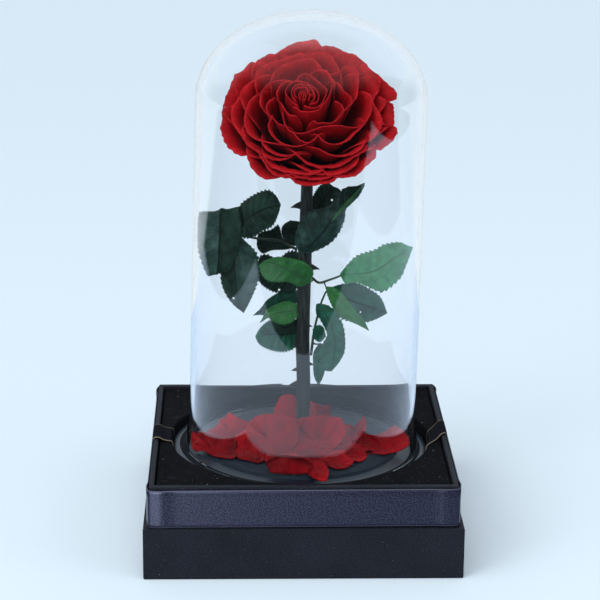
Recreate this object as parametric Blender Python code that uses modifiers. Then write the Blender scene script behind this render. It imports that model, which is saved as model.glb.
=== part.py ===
"""Preserved rose under a glass dome, standing in the top of its square gift box.

Metres, +Z up. The origin is the middle of the box's underside, and the front faces -Y.
The box is square to the axes. The dome, its base disc and the rose stand on a lift ribbon
and lean a little to the right, so they hang from one empty, the seat. Their heights are
measured from the seat, which is the top of the base disc's flange.
"""

from math import cos, exp, pi, radians, sin, sqrt

import bmesh
import bpy
from mathutils import Matrix, Vector

MM = 0.001
CLEARANCE = 0.3 * MM
MERGE = 0.02 * MM

# Gift box
TRAY_SIDE = 180 * MM
TRAY_HEIGHT = 30 * MM
TRAY_WALL = 3.2 * MM
TRAY_FLOOR = 3 * MM
BOX_EDGE = 0.8 * MM
NECK_SIDE = 173 * MM
NECK_TOP = 54 * MM
NECK_SIDE_WALL = 3.0 * MM
NECK_FRONT_WALL = 4.6 * MM
NECK_BOTTOM = TRAY_FLOOR + CLEARANCE
INSERT_WIDTH = 165.4 * MM
INSERT_DEPTH = 162.2 * MM
INSERT_BOTTOM = TRAY_FLOOR + 2 * CLEARANCE
INSERT_TOP = 52 * MM
POCKET_RADIUS = 76.5 * MM
POCKET_FLOOR = 38.6 * MM

# Ribbons
RIBBON_WIDTH = 22 * MM
RIBBON_THICK = 0.5 * MM
BAND_LOW = 30.4 * MM
BAND_RISE = 0.7 * MM
BAND_CORNER = 1.4 * MM

# Seat of the disc and dome
SEAT_HEIGHT = 47 * MM
SEAT_LEAN = radians(0.75)
DISC_RADIUS = 75 * MM
DISC_THICK = 6 * MM
DISC_EDGE = 0.6 * MM
PLATEAU_RADIUS = 57 * MM
PLATEAU_HEIGHT = 1.5 * MM
PLATEAU_SLOPE = 1.2 * MM
STEM_HOLE_RADIUS = 5.6 * MM
STEM_HOLE_DEPTH = 3 * MM

# Glass dome, heights above the seat
GLASS_RADIUS = 66 * MM
GLASS_WALL = 2.5 * MM
GLASS_SHOULDER = 208.4 * MM
GLASS_CAP = 49.9 * MM
GLASS_FOOT_RADIUS = 68.1 * MM
GLASS_FLARE_TOP = 13 * MM
DOME_STEPS = 30

# Rose head, in its own frame: the axis is +Z and the flower faces up it
HEAD_PLACE = (0.5 * MM, 0.0, 180.5 * MM)
HEAD_TILT = radians(36)
HEAD_PETALS = 23
PETAL_THICK = 0.5 * MM
GOLDEN_ANGLE = radians(137.5)
FIRST_PETAL_ANGLE = radians(125)
HEART_TURNS = 2.4
HEART_OUTER_LAYER = -1.5
HEART_INNER_LAYER = -8.6

LEAF_THICK = 0.4 * MM
STALK_RADIUS = 0.65 * MM

BLACK_BOARD = (0.012, 0.014, 0.019)
FELT = (0.009, 0.009, 0.011)
SATIN = (0.030, 0.036, 0.055)
DISC_BLACK = (0.016, 0.018, 0.022)
GLASS = (0.92, 0.97, 1.0)
BARK = (0.014, 0.020, 0.020)
DARK_LEAF = (0.010, 0.040, 0.022)
BRIGHT_LEAF = (0.030, 0.160, 0.035)
ROSE_RED = (0.42, 0.006, 0.012)
DRY_RED = (0.36, 0.006, 0.010)


def clear_scene():
    for obj in list(bpy.data.objects):
        bpy.data.objects.remove(obj, do_unlink=True)


def new_collection(name):
    collection = bpy.data.collections.new(name)
    bpy.context.scene.collection.children.link(collection)
    return collection


clear_scene()
PARTS = new_collection("rose_in_glass_dome")
TOOLS = new_collection("cutters")


def finish(name, colour, roughness, metallic=0.0, transmission=0.0):
    """A material with one Principled BSDF."""
    material = bpy.data.materials.new(name)
    material.use_nodes = True
    shader = material.node_tree.nodes["Principled BSDF"]
    shader.inputs["Base Color"].default_value = (*colour, 1.0)
    shader.inputs["Roughness"].default_value = roughness
    shader.inputs["Metallic"].default_value = metallic
    shader.inputs["Transmission Weight"].default_value = transmission
    return material


def empty(name, location, rotation=(0.0, 0.0, 0.0), parent=None):
    obj = bpy.data.objects.new(name, None)
    obj.location = location
    obj.rotation_euler = rotation
    obj.parent = parent
    PARTS.objects.link(obj)
    return obj


def solid(name, bm, material, parent=None, smooth=False):
    """An object of the part, from a bmesh."""
    mesh = bpy.data.meshes.new(name)
    bm.to_mesh(mesh)
    bm.free()
    mesh.materials.append(material)
    if smooth:
        mesh.shade_smooth()
        mesh.set_sharp_from_angle(angle=radians(40))
    obj = bpy.data.objects.new(name, mesh)
    obj.parent = parent
    PARTS.objects.link(obj)
    return obj


def as_tool(obj):
    """Hides an object that only cuts or joins another."""
    for collection in list(obj.users_collection):
        collection.objects.unlink(obj)
    TOOLS.objects.link(obj)
    obj.hide_render = True
    obj.display_type = "WIRE"
    return obj


def combine(target, tool, operation):
    modifier = target.modifiers.new(f"{operation.lower()} {tool.name}", "BOOLEAN")
    modifier.operation = operation
    modifier.object = as_tool(tool)


def bevel(obj, width, segments=2):
    modifier = obj.modifiers.new("rounded edges", "BEVEL")
    modifier.width = width
    modifier.segments = segments
    modifier.limit_method = "ANGLE"
    modifier.angle_limit = radians(40)


def thicken(obj, thickness):
    modifier = obj.modifiers.new("thickness", "SOLIDIFY")
    modifier.thickness = thickness
    modifier.offset = 0.0


def block(size, centre):
    bm = bmesh.new()
    place = Matrix.Translation(centre) @ Matrix.Diagonal((*size, 1.0))
    bmesh.ops.create_cube(bm, size=1.0, matrix=place)
    return bm


def cone(radius_low, radius_high, depth, segments, place):
    bm = bmesh.new()
    bmesh.ops.create_cone(bm, cap_ends=True, segments=segments, radius1=radius_low,
                          radius2=radius_high, depth=depth, matrix=place)
    return bm


def turned(name, profile, steps, material, parent=None):
    """A profile of (radius, height), from top to bottom down its outer side, spun about Z."""
    bm = bmesh.new()
    corners = [bm.verts.new((radius, 0.0, height)) for radius, height in profile]
    for start, end in zip(corners, corners[1:]):
        bm.edges.new((start, end))
    obj = solid(name, bm, material, parent)
    screw = obj.modifiers.new("turn", "SCREW")
    screw.steps = steps
    screw.render_steps = steps
    screw.use_merge_vertices = True
    screw.merge_threshold = MERGE
    return obj


def sheet(name, across, along, point, thickness, material, parent=None):
    """A thin closed sheet: a grid whose points lie at point(a, b), a from -1 to 1, b from 0 to 1."""
    bm = bmesh.new()
    bmesh.ops.create_grid(bm, x_segments=across, y_segments=along, size=1.0)
    for vertex in bm.verts:
        vertex.co = point(vertex.co.x, (vertex.co.y + 1) / 2)
    obj = solid(name, bm, material, parent, smooth=True)
    thicken(obj, thickness)
    return obj


def tube(name, points, material, parent=None, sides=8):
    """A round rod through points of (x, y, z, radius), as a mesh with welded caps."""
    curve = bpy.data.curves.new(name, "CURVE")
    curve.dimensions = "3D"
    curve.bevel_depth = 1.0
    curve.bevel_resolution = sides // 2 - 2
    curve.use_fill_caps = True
    spline = curve.splines.new("POLY")
    spline.points.add(len(points) - 1)
    for target, (x, y, z, radius) in zip(spline.points, points):
        target.co = (x, y, z, 1.0)
        target.radius = radius
    guide = bpy.data.objects.new(name + "_guide", curve)
    TOOLS.objects.link(guide)
    graph = bpy.context.evaluated_depsgraph_get()
    mesh = bpy.data.meshes.new_from_object(guide.evaluated_get(graph))
    bm = bmesh.new()
    bm.from_mesh(mesh)
    bmesh.ops.remove_doubles(bm, verts=bm.verts, dist=MERGE)
    bpy.data.objects.remove(guide, do_unlink=True)
    bpy.data.meshes.remove(mesh)
    return solid(name, bm, material, parent, smooth=True)


def smooth_path(points, steps):
    """Points on a smooth curve through the given (x, y, z, radius) points."""
    rows = [Vector(point) for point in points]
    rows = [2 * rows[0] - rows[1]] + rows + [2 * rows[-1] - rows[-2]]
    path = []
    for i in range(1, len(rows) - 2):
        before, start, end, after = rows[i - 1], rows[i], rows[i + 1], rows[i + 2]
        for step in range(steps):
            t = step / steps
            path.append(0.5 * (2 * start + (end - before) * t
                               + (2 * before - 5 * start + 4 * end - after) * t ** 2
                               + (3 * start - before - 3 * end + after) * t ** 3))
    return path + [rows[-2]]


def in_mm(points):
    return [tuple(value * MM for value in point) for point in points]


# The gift box

def make_tray(material):
    half = TRAY_HEIGHT / 2
    tray = solid("base_tray", block((TRAY_SIDE, TRAY_SIDE, TRAY_HEIGHT), (0, 0, half)), material)
    inside = TRAY_SIDE - 2 * TRAY_WALL
    hollow = block((inside, inside, TRAY_HEIGHT), (0, 0, half + TRAY_FLOOR))
    combine(tray, solid("tray_hollow", hollow, material), "DIFFERENCE")
    bevel(tray, BOX_EDGE)


def make_neck(material):
    height = NECK_TOP - NECK_BOTTOM
    middle = (0, 0, NECK_BOTTOM + height / 2)
    neck = solid("neck_frame", block((NECK_SIDE, NECK_SIDE, height), middle), material)
    inside = (NECK_SIDE - 2 * NECK_SIDE_WALL, NECK_SIDE - 2 * NECK_FRONT_WALL, 2 * height)
    combine(neck, solid("neck_hollow", block(inside, middle), material), "DIFFERENCE")
    bevel(neck, BOX_EDGE)


def make_insert(material):
    height = INSERT_TOP - INSERT_BOTTOM
    middle = (0, 0, INSERT_BOTTOM + height / 2)
    insert = solid("foam_insert", block((INSERT_WIDTH, INSERT_DEPTH, height), middle), material)
    depth = INSERT_TOP - POCKET_FLOOR
    place = Matrix.Translation((0, 0, POCKET_FLOOR + depth))
    pocket = cone(POCKET_RADIUS, POCKET_RADIUS, 2 * depth, 56, place)
    combine(insert, solid("pocket_hollow", pocket, material), "DIFFERENCE")


def rounded_square(side, radius, steps):
    """The outline of a square with arcs at its corners, anticlockwise."""
    half = side / 2 - radius
    points = []
    for corner, (sign_x, sign_y) in enumerate(((1, 1), (-1, 1), (-1, -1), (1, -1))):
        for step in range(steps + 1):
            angle = (corner + step / steps) * pi / 2
            points.append((sign_x * half + radius * cos(angle), sign_y * half + radius * sin(angle)))
    return points


def make_band(material):
    """The satin ribbon round the neck. It climbs a little from left to right."""
    side = NECK_SIDE + 2 * CLEARANCE + RIBBON_THICK
    bm = bmesh.new()
    low = [bm.verts.new((x, y, BAND_LOW)) for x, y in rounded_square(side, BAND_CORNER, 3)]
    loop = [bm.edges.new(pair) for pair in zip(low, low[1:] + low[:1])]
    grown = bmesh.ops.extrude_edge_only(bm, edges=loop)["geom"]
    for vertex in grown:
        if isinstance(vertex, bmesh.types.BMVert):
            vertex.co.z += RIBBON_WIDTH
    for vertex in bm.verts:
        vertex.co.z += BAND_RISE * (vertex.co.x / NECK_SIDE + 0.5)
    thicken(solid("ribbon_band", bm, material, smooth=True), RIBBON_THICK)


# The lift ribbon's centre line as (x, z, y, wrap): wrap 1 follows the pocket's round wall.
LIFT_ROUTE = in_mm([
    (-87.1, 52.8, 0.3, 0), (-86.9, 54.3, 0.3, 0), (-84.9, 55.4, 0.2, 0), (-82.6, 54.9, 0.2, 0),
    (-80.4, 53.0, 0.0, 0), (-77.4, 52.95, 0.0, 1), (-76.2, 52.5, 0.0, 1), (-75.75, 51.2, 0.0, 1),
    (-75.75, 41.0, 0.0, 1), (-74.0, 39.6, 0.0, 1), (-69.0, 41.1, 0.0, 0), (-60.0, 40.4, -0.5, 0),
    (-48.0, 39.2, -1.0, 0), (73.6, 39.2, -7.4, 1), (75.6, 40.2, -8.0, 1), (75.75, 51.2, -8.0, 1),
    (76.2, 52.5, -7.0, 1), (77.4, 52.95, -4.6, 1), (80.4, 53.0, 0.2, 0), (82.6, 54.9, 3.6, 0),
    (84.9, 55.4, 5.9, 0), (86.8, 54.7, 7.4, 0), (87.2, 53.6, 7.9, 0),
])
LIFT_WRAP_RADIUS = 75.75 * MM


def make_lift_ribbon(material):
    last = len(LIFT_ROUTE) - 1

    def point(side, along):
        x, z, y, wrap = LIFT_ROUTE[round(along * last)]
        y += side * RIBBON_WIDTH / 2
        inward = LIFT_WRAP_RADIUS - sqrt(LIFT_WRAP_RADIUS ** 2 - y ** 2)
        return (x - inward * (wrap / MM) * (1 if x > 0 else -1), y, z)

    sheet("lift_ribbon", 3, last, point, RIBBON_THICK, material)


# The base disc and the glass dome

def make_disc(material, seat):
    top = PLATEAU_HEIGHT
    foot = PLATEAU_RADIUS + PLATEAU_SLOPE
    turned("dome_base", [
        (0, top - STEM_HOLE_DEPTH), (STEM_HOLE_RADIUS, top - STEM_HOLE_DEPTH),
        (STEM_HOLE_RADIUS, top), (PLATEAU_RADIUS - DISC_EDGE, top), (PLATEAU_RADIUS, top - DISC_EDGE / 2),
        (foot, 0), (DISC_RADIUS - DISC_EDGE, 0), (DISC_RADIUS, -DISC_EDGE),
        (DISC_RADIUS, DISC_EDGE - DISC_THICK), (DISC_RADIUS - DISC_EDGE, -DISC_THICK),
        (0, -DISC_THICK),
    ], 40, material, seat)


def cap_arc(radius, height, shoulder, steps):
    """An elliptic cap from its apex on the axis down to the shoulder."""
    arc = [(radius * sin(pi / 2 * i / steps), shoulder + height * cos(pi / 2 * i / steps))
           for i in range(steps)]
    return arc + [(radius, shoulder)]


def make_glass(material, seat):
    outer = cap_arc(GLASS_RADIUS, GLASS_CAP, GLASS_SHOULDER, 6)
    inner = cap_arc(GLASS_RADIUS - GLASS_WALL, GLASS_CAP - GLASS_WALL, GLASS_SHOULDER, 5)
    inner.reverse()
    flare = GLASS_FOOT_RADIUS - GLASS_RADIUS
    inner_foot = GLASS_FOOT_RADIUS - GLASS_WALL
    foot = [
        (GLASS_RADIUS, GLASS_FLARE_TOP), (GLASS_RADIUS + 0.3 * flare, 6 * MM),
        (GLASS_FOOT_RADIUS, 2 * MM), (GLASS_FOOT_RADIUS - 1.0 * MM, CLEARANCE),
        (inner_foot - 0.2 * MM, 0.8 * MM), (GLASS_RADIUS - GLASS_WALL, GLASS_FLARE_TOP),
    ]
    turned("glass_dome", outer + foot + inner, DOME_STEPS, material, seat)


# The stem, its thorns, receptacle and sepals

STEM_ROUTE = in_mm([
    (1.5, 0, -1.1, 3.9), (1.4, 0, 15, 3.9), (1.2, 0, 40, 3.95), (0.3, 0, 61, 4.0),
    (0.2, 0, 85, 3.95), (0.5, 0, 110, 3.9), (0.6, 0.2, 140, 3.6), (0.7, 1.2, 156, 3.35),
    (0.6, 4.2, 167, 3.3), (0.5, 4.0, 173, 3.4),
])
# Thorns as (height, side angle, reach from the stem's middle), angle 0 to the right and 90 behind.
THORNS = [
    (146.5, 182, 9.2), (109.5, -4, 8.8), (73.6, 5, 5.8), (50.6, -8, 6.8), (47.0, 186, 7.2),
    (38.0, 176, 8.8), (128.0, 70, 7.5), (88.0, 110, 7.5), (62.0, 200, 5.2), (30.0, 60, 7.0),
]
RECEPTACLE = in_mm([
    (0, 2.9), (2.0, 1.15), (4.5, -1.05), (7.6, -3.8), (8.2, -5.4), (7.2, -8.6), (5.0, -11.6),
    (3.0, -13.5), (0, -13.7),
])
THORN_ROOT = 1.8 * MM
THORN_BASE = 2.0 * MM
THORN_POINT = 0.08 * MM
THORN_DROOP = 1.0 * MM
SEPALS = 5
SEPAL_LENGTH = 17 * MM
SEPAL_ROOT = (5.5 * MM, -6.5 * MM)
SEPAL_BASE = 2.9 * MM
SEPAL_POINT = 0.15 * MM
SEPAL_FLATNESS = 0.28
SEPAL_DROOP = 0.42
SEPAL_TURN = radians(17)


def stem_centre(height):
    """The stem's middle at a height above the seat."""
    for low, high in zip(STEM_ROUTE, STEM_ROUTE[1:]):
        if height <= high[2]:
            share = (height - low[2]) / (high[2] - low[2])
            return Vector(low[:3]).lerp(Vector(high[:3]), share)
    return Vector(STEM_ROUTE[-1][:3])


def pointing(origin, direction):
    """A matrix that turns +Z to a direction at an origin."""
    turn = direction.to_track_quat("Z", "Y").to_matrix().to_4x4()
    return Matrix.Translation(origin) @ turn


def add_thorn(name, stem, height, side, reach, material, seat):
    """A cone that grows out of the stem and points a little down."""
    outward = Vector((cos(side), sin(side), 0))
    root = stem_centre(height + THORN_DROOP) + outward * THORN_ROOT
    tip = stem_centre(height) + outward * reach
    thorn = cone(THORN_BASE, THORN_POINT, (tip - root).length, 6, pointing((root + tip) / 2, tip - root))
    combine(stem, solid(name, thorn, material, seat), "UNION")


def add_sepal(name, stem, angle, material, head):
    """A flat pointed sepal that leans back from the receptacle."""
    radius, height = SEPAL_ROOT
    direction = Vector((cos(angle), sin(angle), -SEPAL_DROOP)).normalized()
    middle = Vector((radius * cos(angle), radius * sin(angle), height)) + direction * SEPAL_LENGTH / 2
    place = pointing(middle, direction) @ Matrix.Diagonal((SEPAL_FLATNESS, 1.0, 1.0, 1.0))
    sepal = cone(SEPAL_BASE, SEPAL_POINT, SEPAL_LENGTH, 6, place)
    combine(stem, solid(name, sepal, material, head), "UNION")


def make_stem(material, seat, head):
    stem = tube("stem", smooth_path(STEM_ROUTE, 2), material, seat)
    for i, (height, side, reach) in enumerate(THORNS):
        add_thorn(f"thorn_{i + 1}", stem, height * MM, radians(side), reach * MM, material, seat)
    combine(stem, turned("receptacle", RECEPTACLE, 16, material, head), "UNION")
    for i in range(SEPALS):
        add_sepal(f"sepal_{i + 1}", stem, 2 * pi * i / SEPALS + SEPAL_TURN, material, head)


# The rose head

def mixed(start, end, share):
    return start + (end - start) * share


def head_profile(layer, turn):
    """Four control points of (radius, height) in mm for the cup that a layer lies on.

    Layer 0 is the innermost opened petal and negative layers are the furled heart.
    The cups are nested, and stand higher behind than in front.
    """
    s = layer / (HEAD_PETALS - 1)
    opened = max(s, 0.0)
    if layer >= 0:
        rim = 16 + 31.5 * opened ** 0.85
        height = 41.5 - 14.5 * opened ** 0.8
    else:
        rim = 16 + 1.35 * layer
        height = 41.5 - 0.5 * layer
    height += 13 * opened * (1 + sin(turn)) / 2
    base = (2.6 + 0.25 * layer, 1.5 - 0.22 * layer)
    lean = radians(50 - 53 * opened)
    reach = 14 + 4 * opened + 0.9 * min(layer, 0)
    low = (base[0] + reach * cos(lean), base[1] + reach * sin(lean))
    high = (rim + 2 - 6 * opened + 0.1 * min(layer, 0), height - 13 - 4 * opened)
    return base, low, high, (rim, height)


def head_point(layer, turn, v):
    """A point of a layer's cup at an angle round the head, v from 0 at the base to 1 at the rim."""
    corners = head_profile(layer, turn)
    weights = ((1 - v) ** 3, 3 * v * (1 - v) ** 2, 3 * v * v * (1 - v), v ** 3)
    radius = sum(w * corner[0] for w, corner in zip(weights, corners))
    height = sum(w * corner[1] for w, corner in zip(weights, corners))
    roll = max(0.0, (v - 0.8) / 0.2) ** 2
    opened = max(layer, 0) / (HEAD_PETALS - 1)
    if layer >= 0:
        radius += roll * (1.2 + 2.6 * opened)
        height -= roll * (0.4 + 1.6 * opened)
    return Vector((radius * cos(turn), radius * sin(turn), height)) * MM


def smoothstep(value):
    t = min(max(value, 0.0), 1.0)
    return t * t * (3 - 2 * t)


def make_head_petal(index, material, head):
    """One opened petal: a narrow claw, a broad blade of two lobes and a small point between them."""
    opened = index / (HEAD_PETALS - 1)
    middle = FIRST_PETAL_ANGLE + index * GOLDEN_ANGLE
    widest = radians(mixed(58, 42, opened))
    reach = 1.0 - 0.04 * ((index * 7) % 5) / 4

    def point(a, b):
        half = mixed(radians(14), widest, smoothstep(b / 0.6))
        outline = 1 - 0.16 * abs(a) ** 3.2 + 0.035 * exp(-(a / 0.16) ** 2)
        return head_point(index + 0.35 * a, middle + half * a, b * reach * outline)

    sheet(f"petal_{index + 1:02d}", 6, 4, point, PETAL_THICK, material, head)


def make_heart(material, head):
    """The furled middle of the rose, one spiral from its outer turn in to the centre."""
    def point(a, b):
        share = (a + 1) / 2
        layer = mixed(HEART_OUTER_LAYER, HEART_INNER_LAYER, share)
        turn = FIRST_PETAL_ANGLE + 2 * pi * HEART_TURNS * share
        return head_point(layer, turn, b * (0.97 + 0.03 * sin(5 * turn)))

    sheet("rose_heart", 32, 4, point, PETAL_THICK, material, head)


# Leaves

# Each leaflet as base, tip, width, the way its upper face looks, arch and fold, in mm.
LEAFLETS = {
    "leaflet_upper_left_tip": ((-46.0, -8.6, 146.2), (-50.0, -15, 107.5), 25, (-0.25, -1, 0.25), 0.10, 0.25),
    "leaflet_upper_left_inner": ((-36.6, -5.2, 132.6), (-15.4, -4, 149.5), 17, (0.1, -1, 0.5), 0.08, 0.15),
    "leaflet_upper_left_hanging": ((-34.0, -4.2, 127.6), (-34.5, -15, 85.6), 21, (0.3, -1, 0.2), 0.08, 0.2),
    "leaflet_upper_left_near": ((-9.5, 5.6, 120.6), (-28.0, 7.6, 119.0), 13, (0, -0.8, 0.7), 0.08, 0.2),
    "leaflet_upper_left_rear": ((-12.0, 5.8, 124.0), (-13.0, 13, 136.5), 12, (0, -1, 0.3), 0.05, 0.2),
    "leaflet_upper_right_front": ((-2.0, -8.4, 121.4), (32.5, -14, 163.3), 20, (-0.2, -1, 0.15), 0.10, 0.3),
    "leaflet_upper_right_rear": ((3.9, 4.0, 137.5), (14.5, 10.5, 158.0), 17, (0, -1, 0.2), 0.06, 0.15),
    "leaflet_centre_front": ((3.0, -5.0, 103.8), (-26.3, -20, 115.0), 16, (-0.1, -0.8, 0.75), 0.10, 0.15),
    "leaflet_left_rear": ((-3.0, 3.6, 99.6), (-27.7, 11, 107.5), 19, (0, -0.9, 0.5), 0.08, 0.2),
    "leaflet_lower_left_upper": ((-3.2, 3.4, 88.6), (-28.4, 9, 76.9), 13, (0, -0.8, 0.6), 0.08, 0.2),
    "leaflet_lower_left_bright": ((-4.4, -1.4, 82.3), (-23.3, -7, 79.4), 12, (0, -0.8, 0.7), 0.08, 0.2),
    "leaflet_lower_left_under": ((-3.6, 3.0, 67.0), (-27.7, 2, 65.6), 15, (0.1, -0.8, 0.55), 0.10, 0.2),
    "leaflet_right_tip": ((21.9, -2.4, 105.4), (61.2, -5, 123.6), 21, (-0.1, -0.8, 0.5), 0.10, 0.12),
    "leaflet_right_rear": ((14.3, -0.4, 95.6), (50.0, 9, 79.6), 20, (0, -1, 0.35), 0.08, 0.15),
    "leaflet_right_front": ((13.7, -3.0, 96.4), (38.1, -13, 75.4), 11, (0.2, -1, 0.4), 0.08, 0.35),
    "leaflet_lower_right": ((9.4, -4.6, 85.6), (16.0, -14, 50.6), 15, (0.25, -1, 0.1), 0.08, 0.25),
}
BRIGHT_LEAFLETS = ("leaflet_centre_front", "leaflet_lower_left_bright", "leaflet_right_tip")
STALKS = {
    "stalk_upper_left": in_mm([(-4.3, 3.6, 119), (-15, 4.4, 124), (-28, -0.6, 126.6), (-36, -3.8, 130),
                               (-42, -6.8, 139), (-45.6, -8.2, 145.2)]),
    "stalk_upper_right": in_mm([(0.2, -4.4, 112), (-0.6, -6.0, 116.5), (-1.6, -7.6, 120.6)]),
    "stalk_right": in_mm([(5.0, 0.0, 103), (9, -1.4, 100.6), (15, -2.0, 102.6), (21.1, -2.3, 105.1)]),
    "stalk_lower_right": in_mm([(5.3, -0.8, 56), (6.6, -1.6, 70), (8.6, -2.6, 81), (10.6, -3.0, 89.4),
                                (13.0, -1.8, 95.2)]),
}


def leaf_outline(t):
    """Half the width of a leaflet along its length, as a share of its widest half."""
    return 0.03 + 0.97 * sin(pi * t ** 0.85) ** 0.66


def make_leaflet(name, base, tip, width, facing, arch, fold, material, seat):
    start = Vector(base) * MM
    length_line = Vector(tip) * MM - start
    along = length_line.normalized()
    face = Vector(facing)
    face = (face - face.dot(along) * along).normalized()
    side = along.cross(face)
    half = width * MM / 2

    def point(a, b):
        t = min(max(b, 0.0), 0.999)
        spread = a * half * leaf_outline(t)
        rise = arch * length_line.length * sin(pi * t) + fold * abs(spread)
        return start + length_line * t + side * spread + face * rise

    sheet(name, 4, 5, point, LEAF_THICK, material, seat)


# Fallen petals as centre (x, y), rest height over the plateau, heading, length, width, cup depth,
# pitch and roll, in mm and degrees.
FALLEN_PETALS = [
    ((-49.0, -14.5), 0.4, 196, 24, 32, 7, 4, 0),
    ((-40.0, 21.0), 0.4, 150, 32, 34, 8, 10, 8),
    ((-18.5, -10.5), 0.5, 207, 34, 38, 8, -24, 0),
    ((-9.5, 28.0), 0.4, 100, 34, 38, 7, 32, 0),
    ((23.0, 25.0), 0.4, 48, 34, 38, 8, 22, 0),
    ((19.5, -12.0), 0.5, -34, 36, 40, 8, -24, 0),
    ((48.0, -1.0), 0.4, 4, 26, 34, 7, 6, 0),
    ((-2.0, -44.0), 0.4, 264, 24, 44, 8, 4, 0),
]


def make_fallen_petal(index, centre, rest, heading, length, width, cup, pitch, roll, material, seat):
    """A petal lying on the disc, hollow side up."""
    turn = (Matrix.Rotation(radians(heading - 90), 3, "Z")
            @ Matrix.Rotation(radians(pitch), 3, "X") @ Matrix.Rotation(radians(roll), 3, "Y"))

    def lying(a, b):
        half = width / 2 * (0.2 + 0.8 * smoothstep(b / 0.65) - 0.18 * max(0.0, b - 0.65) / 0.35)
        y = length * (b * (1 - 0.14 * abs(a) ** 3) - 0.5)
        x = a * half
        z = cup * ((2 * x / width) ** 2 + 0.7 * (2 * y / length) ** 2)
        return turn @ Vector((x, y, z))

    lowest = min(lying(a / 3, b / 5).z for a in range(-3, 4) for b in range(6))
    floor = PLATEAU_HEIGHT + PETAL_THICK / 2 + (rest - lowest) * MM

    def point(a, b):
        return lying(a, b) * MM + Vector((centre[0] * MM, centre[1] * MM, floor))

    sheet(f"fallen_petal_{index + 1}", 6, 4, point, PETAL_THICK, material, seat)


def build():
    board = finish("black board", BLACK_BOARD, 0.65)
    make_tray(board)
    make_neck(board.copy())
    make_insert(finish("black felt", FELT, 0.95))
    make_band(finish("dark satin", SATIN, 0.35))
    make_lift_ribbon(finish("woven satin", SATIN, 0.4))

    seat = empty("dome_seat", (0, 0, SEAT_HEIGHT), (0, SEAT_LEAN, 0))
    head = empty("head_place", HEAD_PLACE, (HEAD_TILT, 0, 0), seat)
    make_disc(finish("black disc", DISC_BLACK, 0.3), seat)
    make_glass(finish("clear glass", GLASS, 0.02, transmission=1.0), seat)
    make_stem(finish("dark bark", BARK, 0.6), seat, head)

    petal_red = finish("rose petal", ROSE_RED, 0.5)
    make_heart(petal_red, head)
    for index in range(HEAD_PETALS):
        make_head_petal(index, petal_red.copy(), head)

    stalk_green = finish("leaf stalk", DARK_LEAF, 0.6)
    for name, route in STALKS.items():
        path = smooth_path([(*point, STALK_RADIUS) for point in route], 2)
        tube(name, path, stalk_green.copy(), seat, sides=6)
    dark = finish("dark leaf", DARK_LEAF, 0.5)
    bright = finish("bright leaf", BRIGHT_LEAF, 0.45)
    for name, shape in LEAFLETS.items():
        green = bright if name in BRIGHT_LEAFLETS else dark
        make_leaflet(name, *shape, green.copy(), seat)

    fallen_red = finish("fallen petal", DRY_RED, 0.5)
    for index, shape in enumerate(FALLEN_PETALS):
        make_fallen_petal(index, *shape, fallen_red.copy(), seat)


build()
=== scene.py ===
# Preserved rose under a glass dome in its square black gift box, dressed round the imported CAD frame.
# Metres, +Z up, front faces -Y.

from math import cos, exp, pi, radians, sin, tau

import bmesh
import bpy
import numpy as np
from mathutils import Matrix, Vector
from mathutils.kdtree import KDTree


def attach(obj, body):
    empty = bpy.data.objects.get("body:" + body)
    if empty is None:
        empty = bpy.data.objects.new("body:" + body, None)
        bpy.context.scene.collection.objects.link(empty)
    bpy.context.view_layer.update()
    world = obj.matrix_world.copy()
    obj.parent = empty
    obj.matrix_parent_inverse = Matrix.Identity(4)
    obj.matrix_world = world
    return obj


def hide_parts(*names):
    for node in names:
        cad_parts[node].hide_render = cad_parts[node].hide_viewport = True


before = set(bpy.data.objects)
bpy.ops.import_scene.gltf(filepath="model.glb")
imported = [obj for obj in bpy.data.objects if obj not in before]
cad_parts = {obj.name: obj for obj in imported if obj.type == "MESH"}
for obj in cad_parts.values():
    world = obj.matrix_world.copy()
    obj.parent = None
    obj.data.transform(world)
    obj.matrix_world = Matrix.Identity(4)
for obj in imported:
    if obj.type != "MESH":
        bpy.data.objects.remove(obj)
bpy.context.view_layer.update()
mm = 0.001
print("frame loaded:", len(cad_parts), "nodes")

# Camera, at the photograph's viewing angle

cameraSetup = {
    "place": (-37.2 * mm, -1207.1 * mm, 510.3 * mm),
    "yaw": 1.733,          # degrees to the right of +Y
    "pitch": 17.21,        # degrees down
    "roll": 0.4785,
    "focal": 2170.0,       # pixels, in a frame 600 wide
    "frame": 600.0,
    "sensor": 36.0,
}


def cameraAxes():
    yaw, pitch, roll = (radians(cameraSetup[k]) for k in ("yaw", "pitch", "roll"))
    ahead = Vector((sin(yaw) * cos(pitch), cos(yaw) * cos(pitch), -sin(pitch)))
    side = Vector((cos(yaw), -sin(yaw), 0))
    up = side.cross(ahead)
    return cos(roll) * side + sin(roll) * up, cos(roll) * up - sin(roll) * side, ahead


def addObject(name, data):
    obj = bpy.data.objects.new(name, data)
    bpy.context.scene.collection.objects.link(obj)
    return obj


def makeCamera():
    side, up, ahead = cameraAxes()
    data = bpy.data.cameras.new("camera")
    data.sensor_width = cameraSetup["sensor"]
    data.lens = cameraSetup["focal"] / cameraSetup["frame"] * cameraSetup["sensor"]
    data.clip_start = 0.01
    camera = addObject("camera", data)
    turn = Matrix((side, up, -ahead)).transposed().to_4x4()
    camera.matrix_world = Matrix.Translation(cameraSetup["place"]) @ turn
    bpy.context.scene.camera = camera


makeCamera()


def seenAt(px, py, axis, value):
    # Where a place of the photograph's 600 x 600 frame meets a depth (axis 1) or a height (axis 2) in mm
    side, up, ahead = cameraAxes()
    half, focal = cameraSetup["frame"] / 2, cameraSetup["focal"]
    ray = ahead + side * (px - half) / focal - up * (py - half) / focal
    start = Vector(cameraSetup["place"])
    return start + ray * ((value * mm - start[axis]) / ray[axis])


# Mesh helpers

def mixed(low, high, share):
    return low + (high - low) * share


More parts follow.
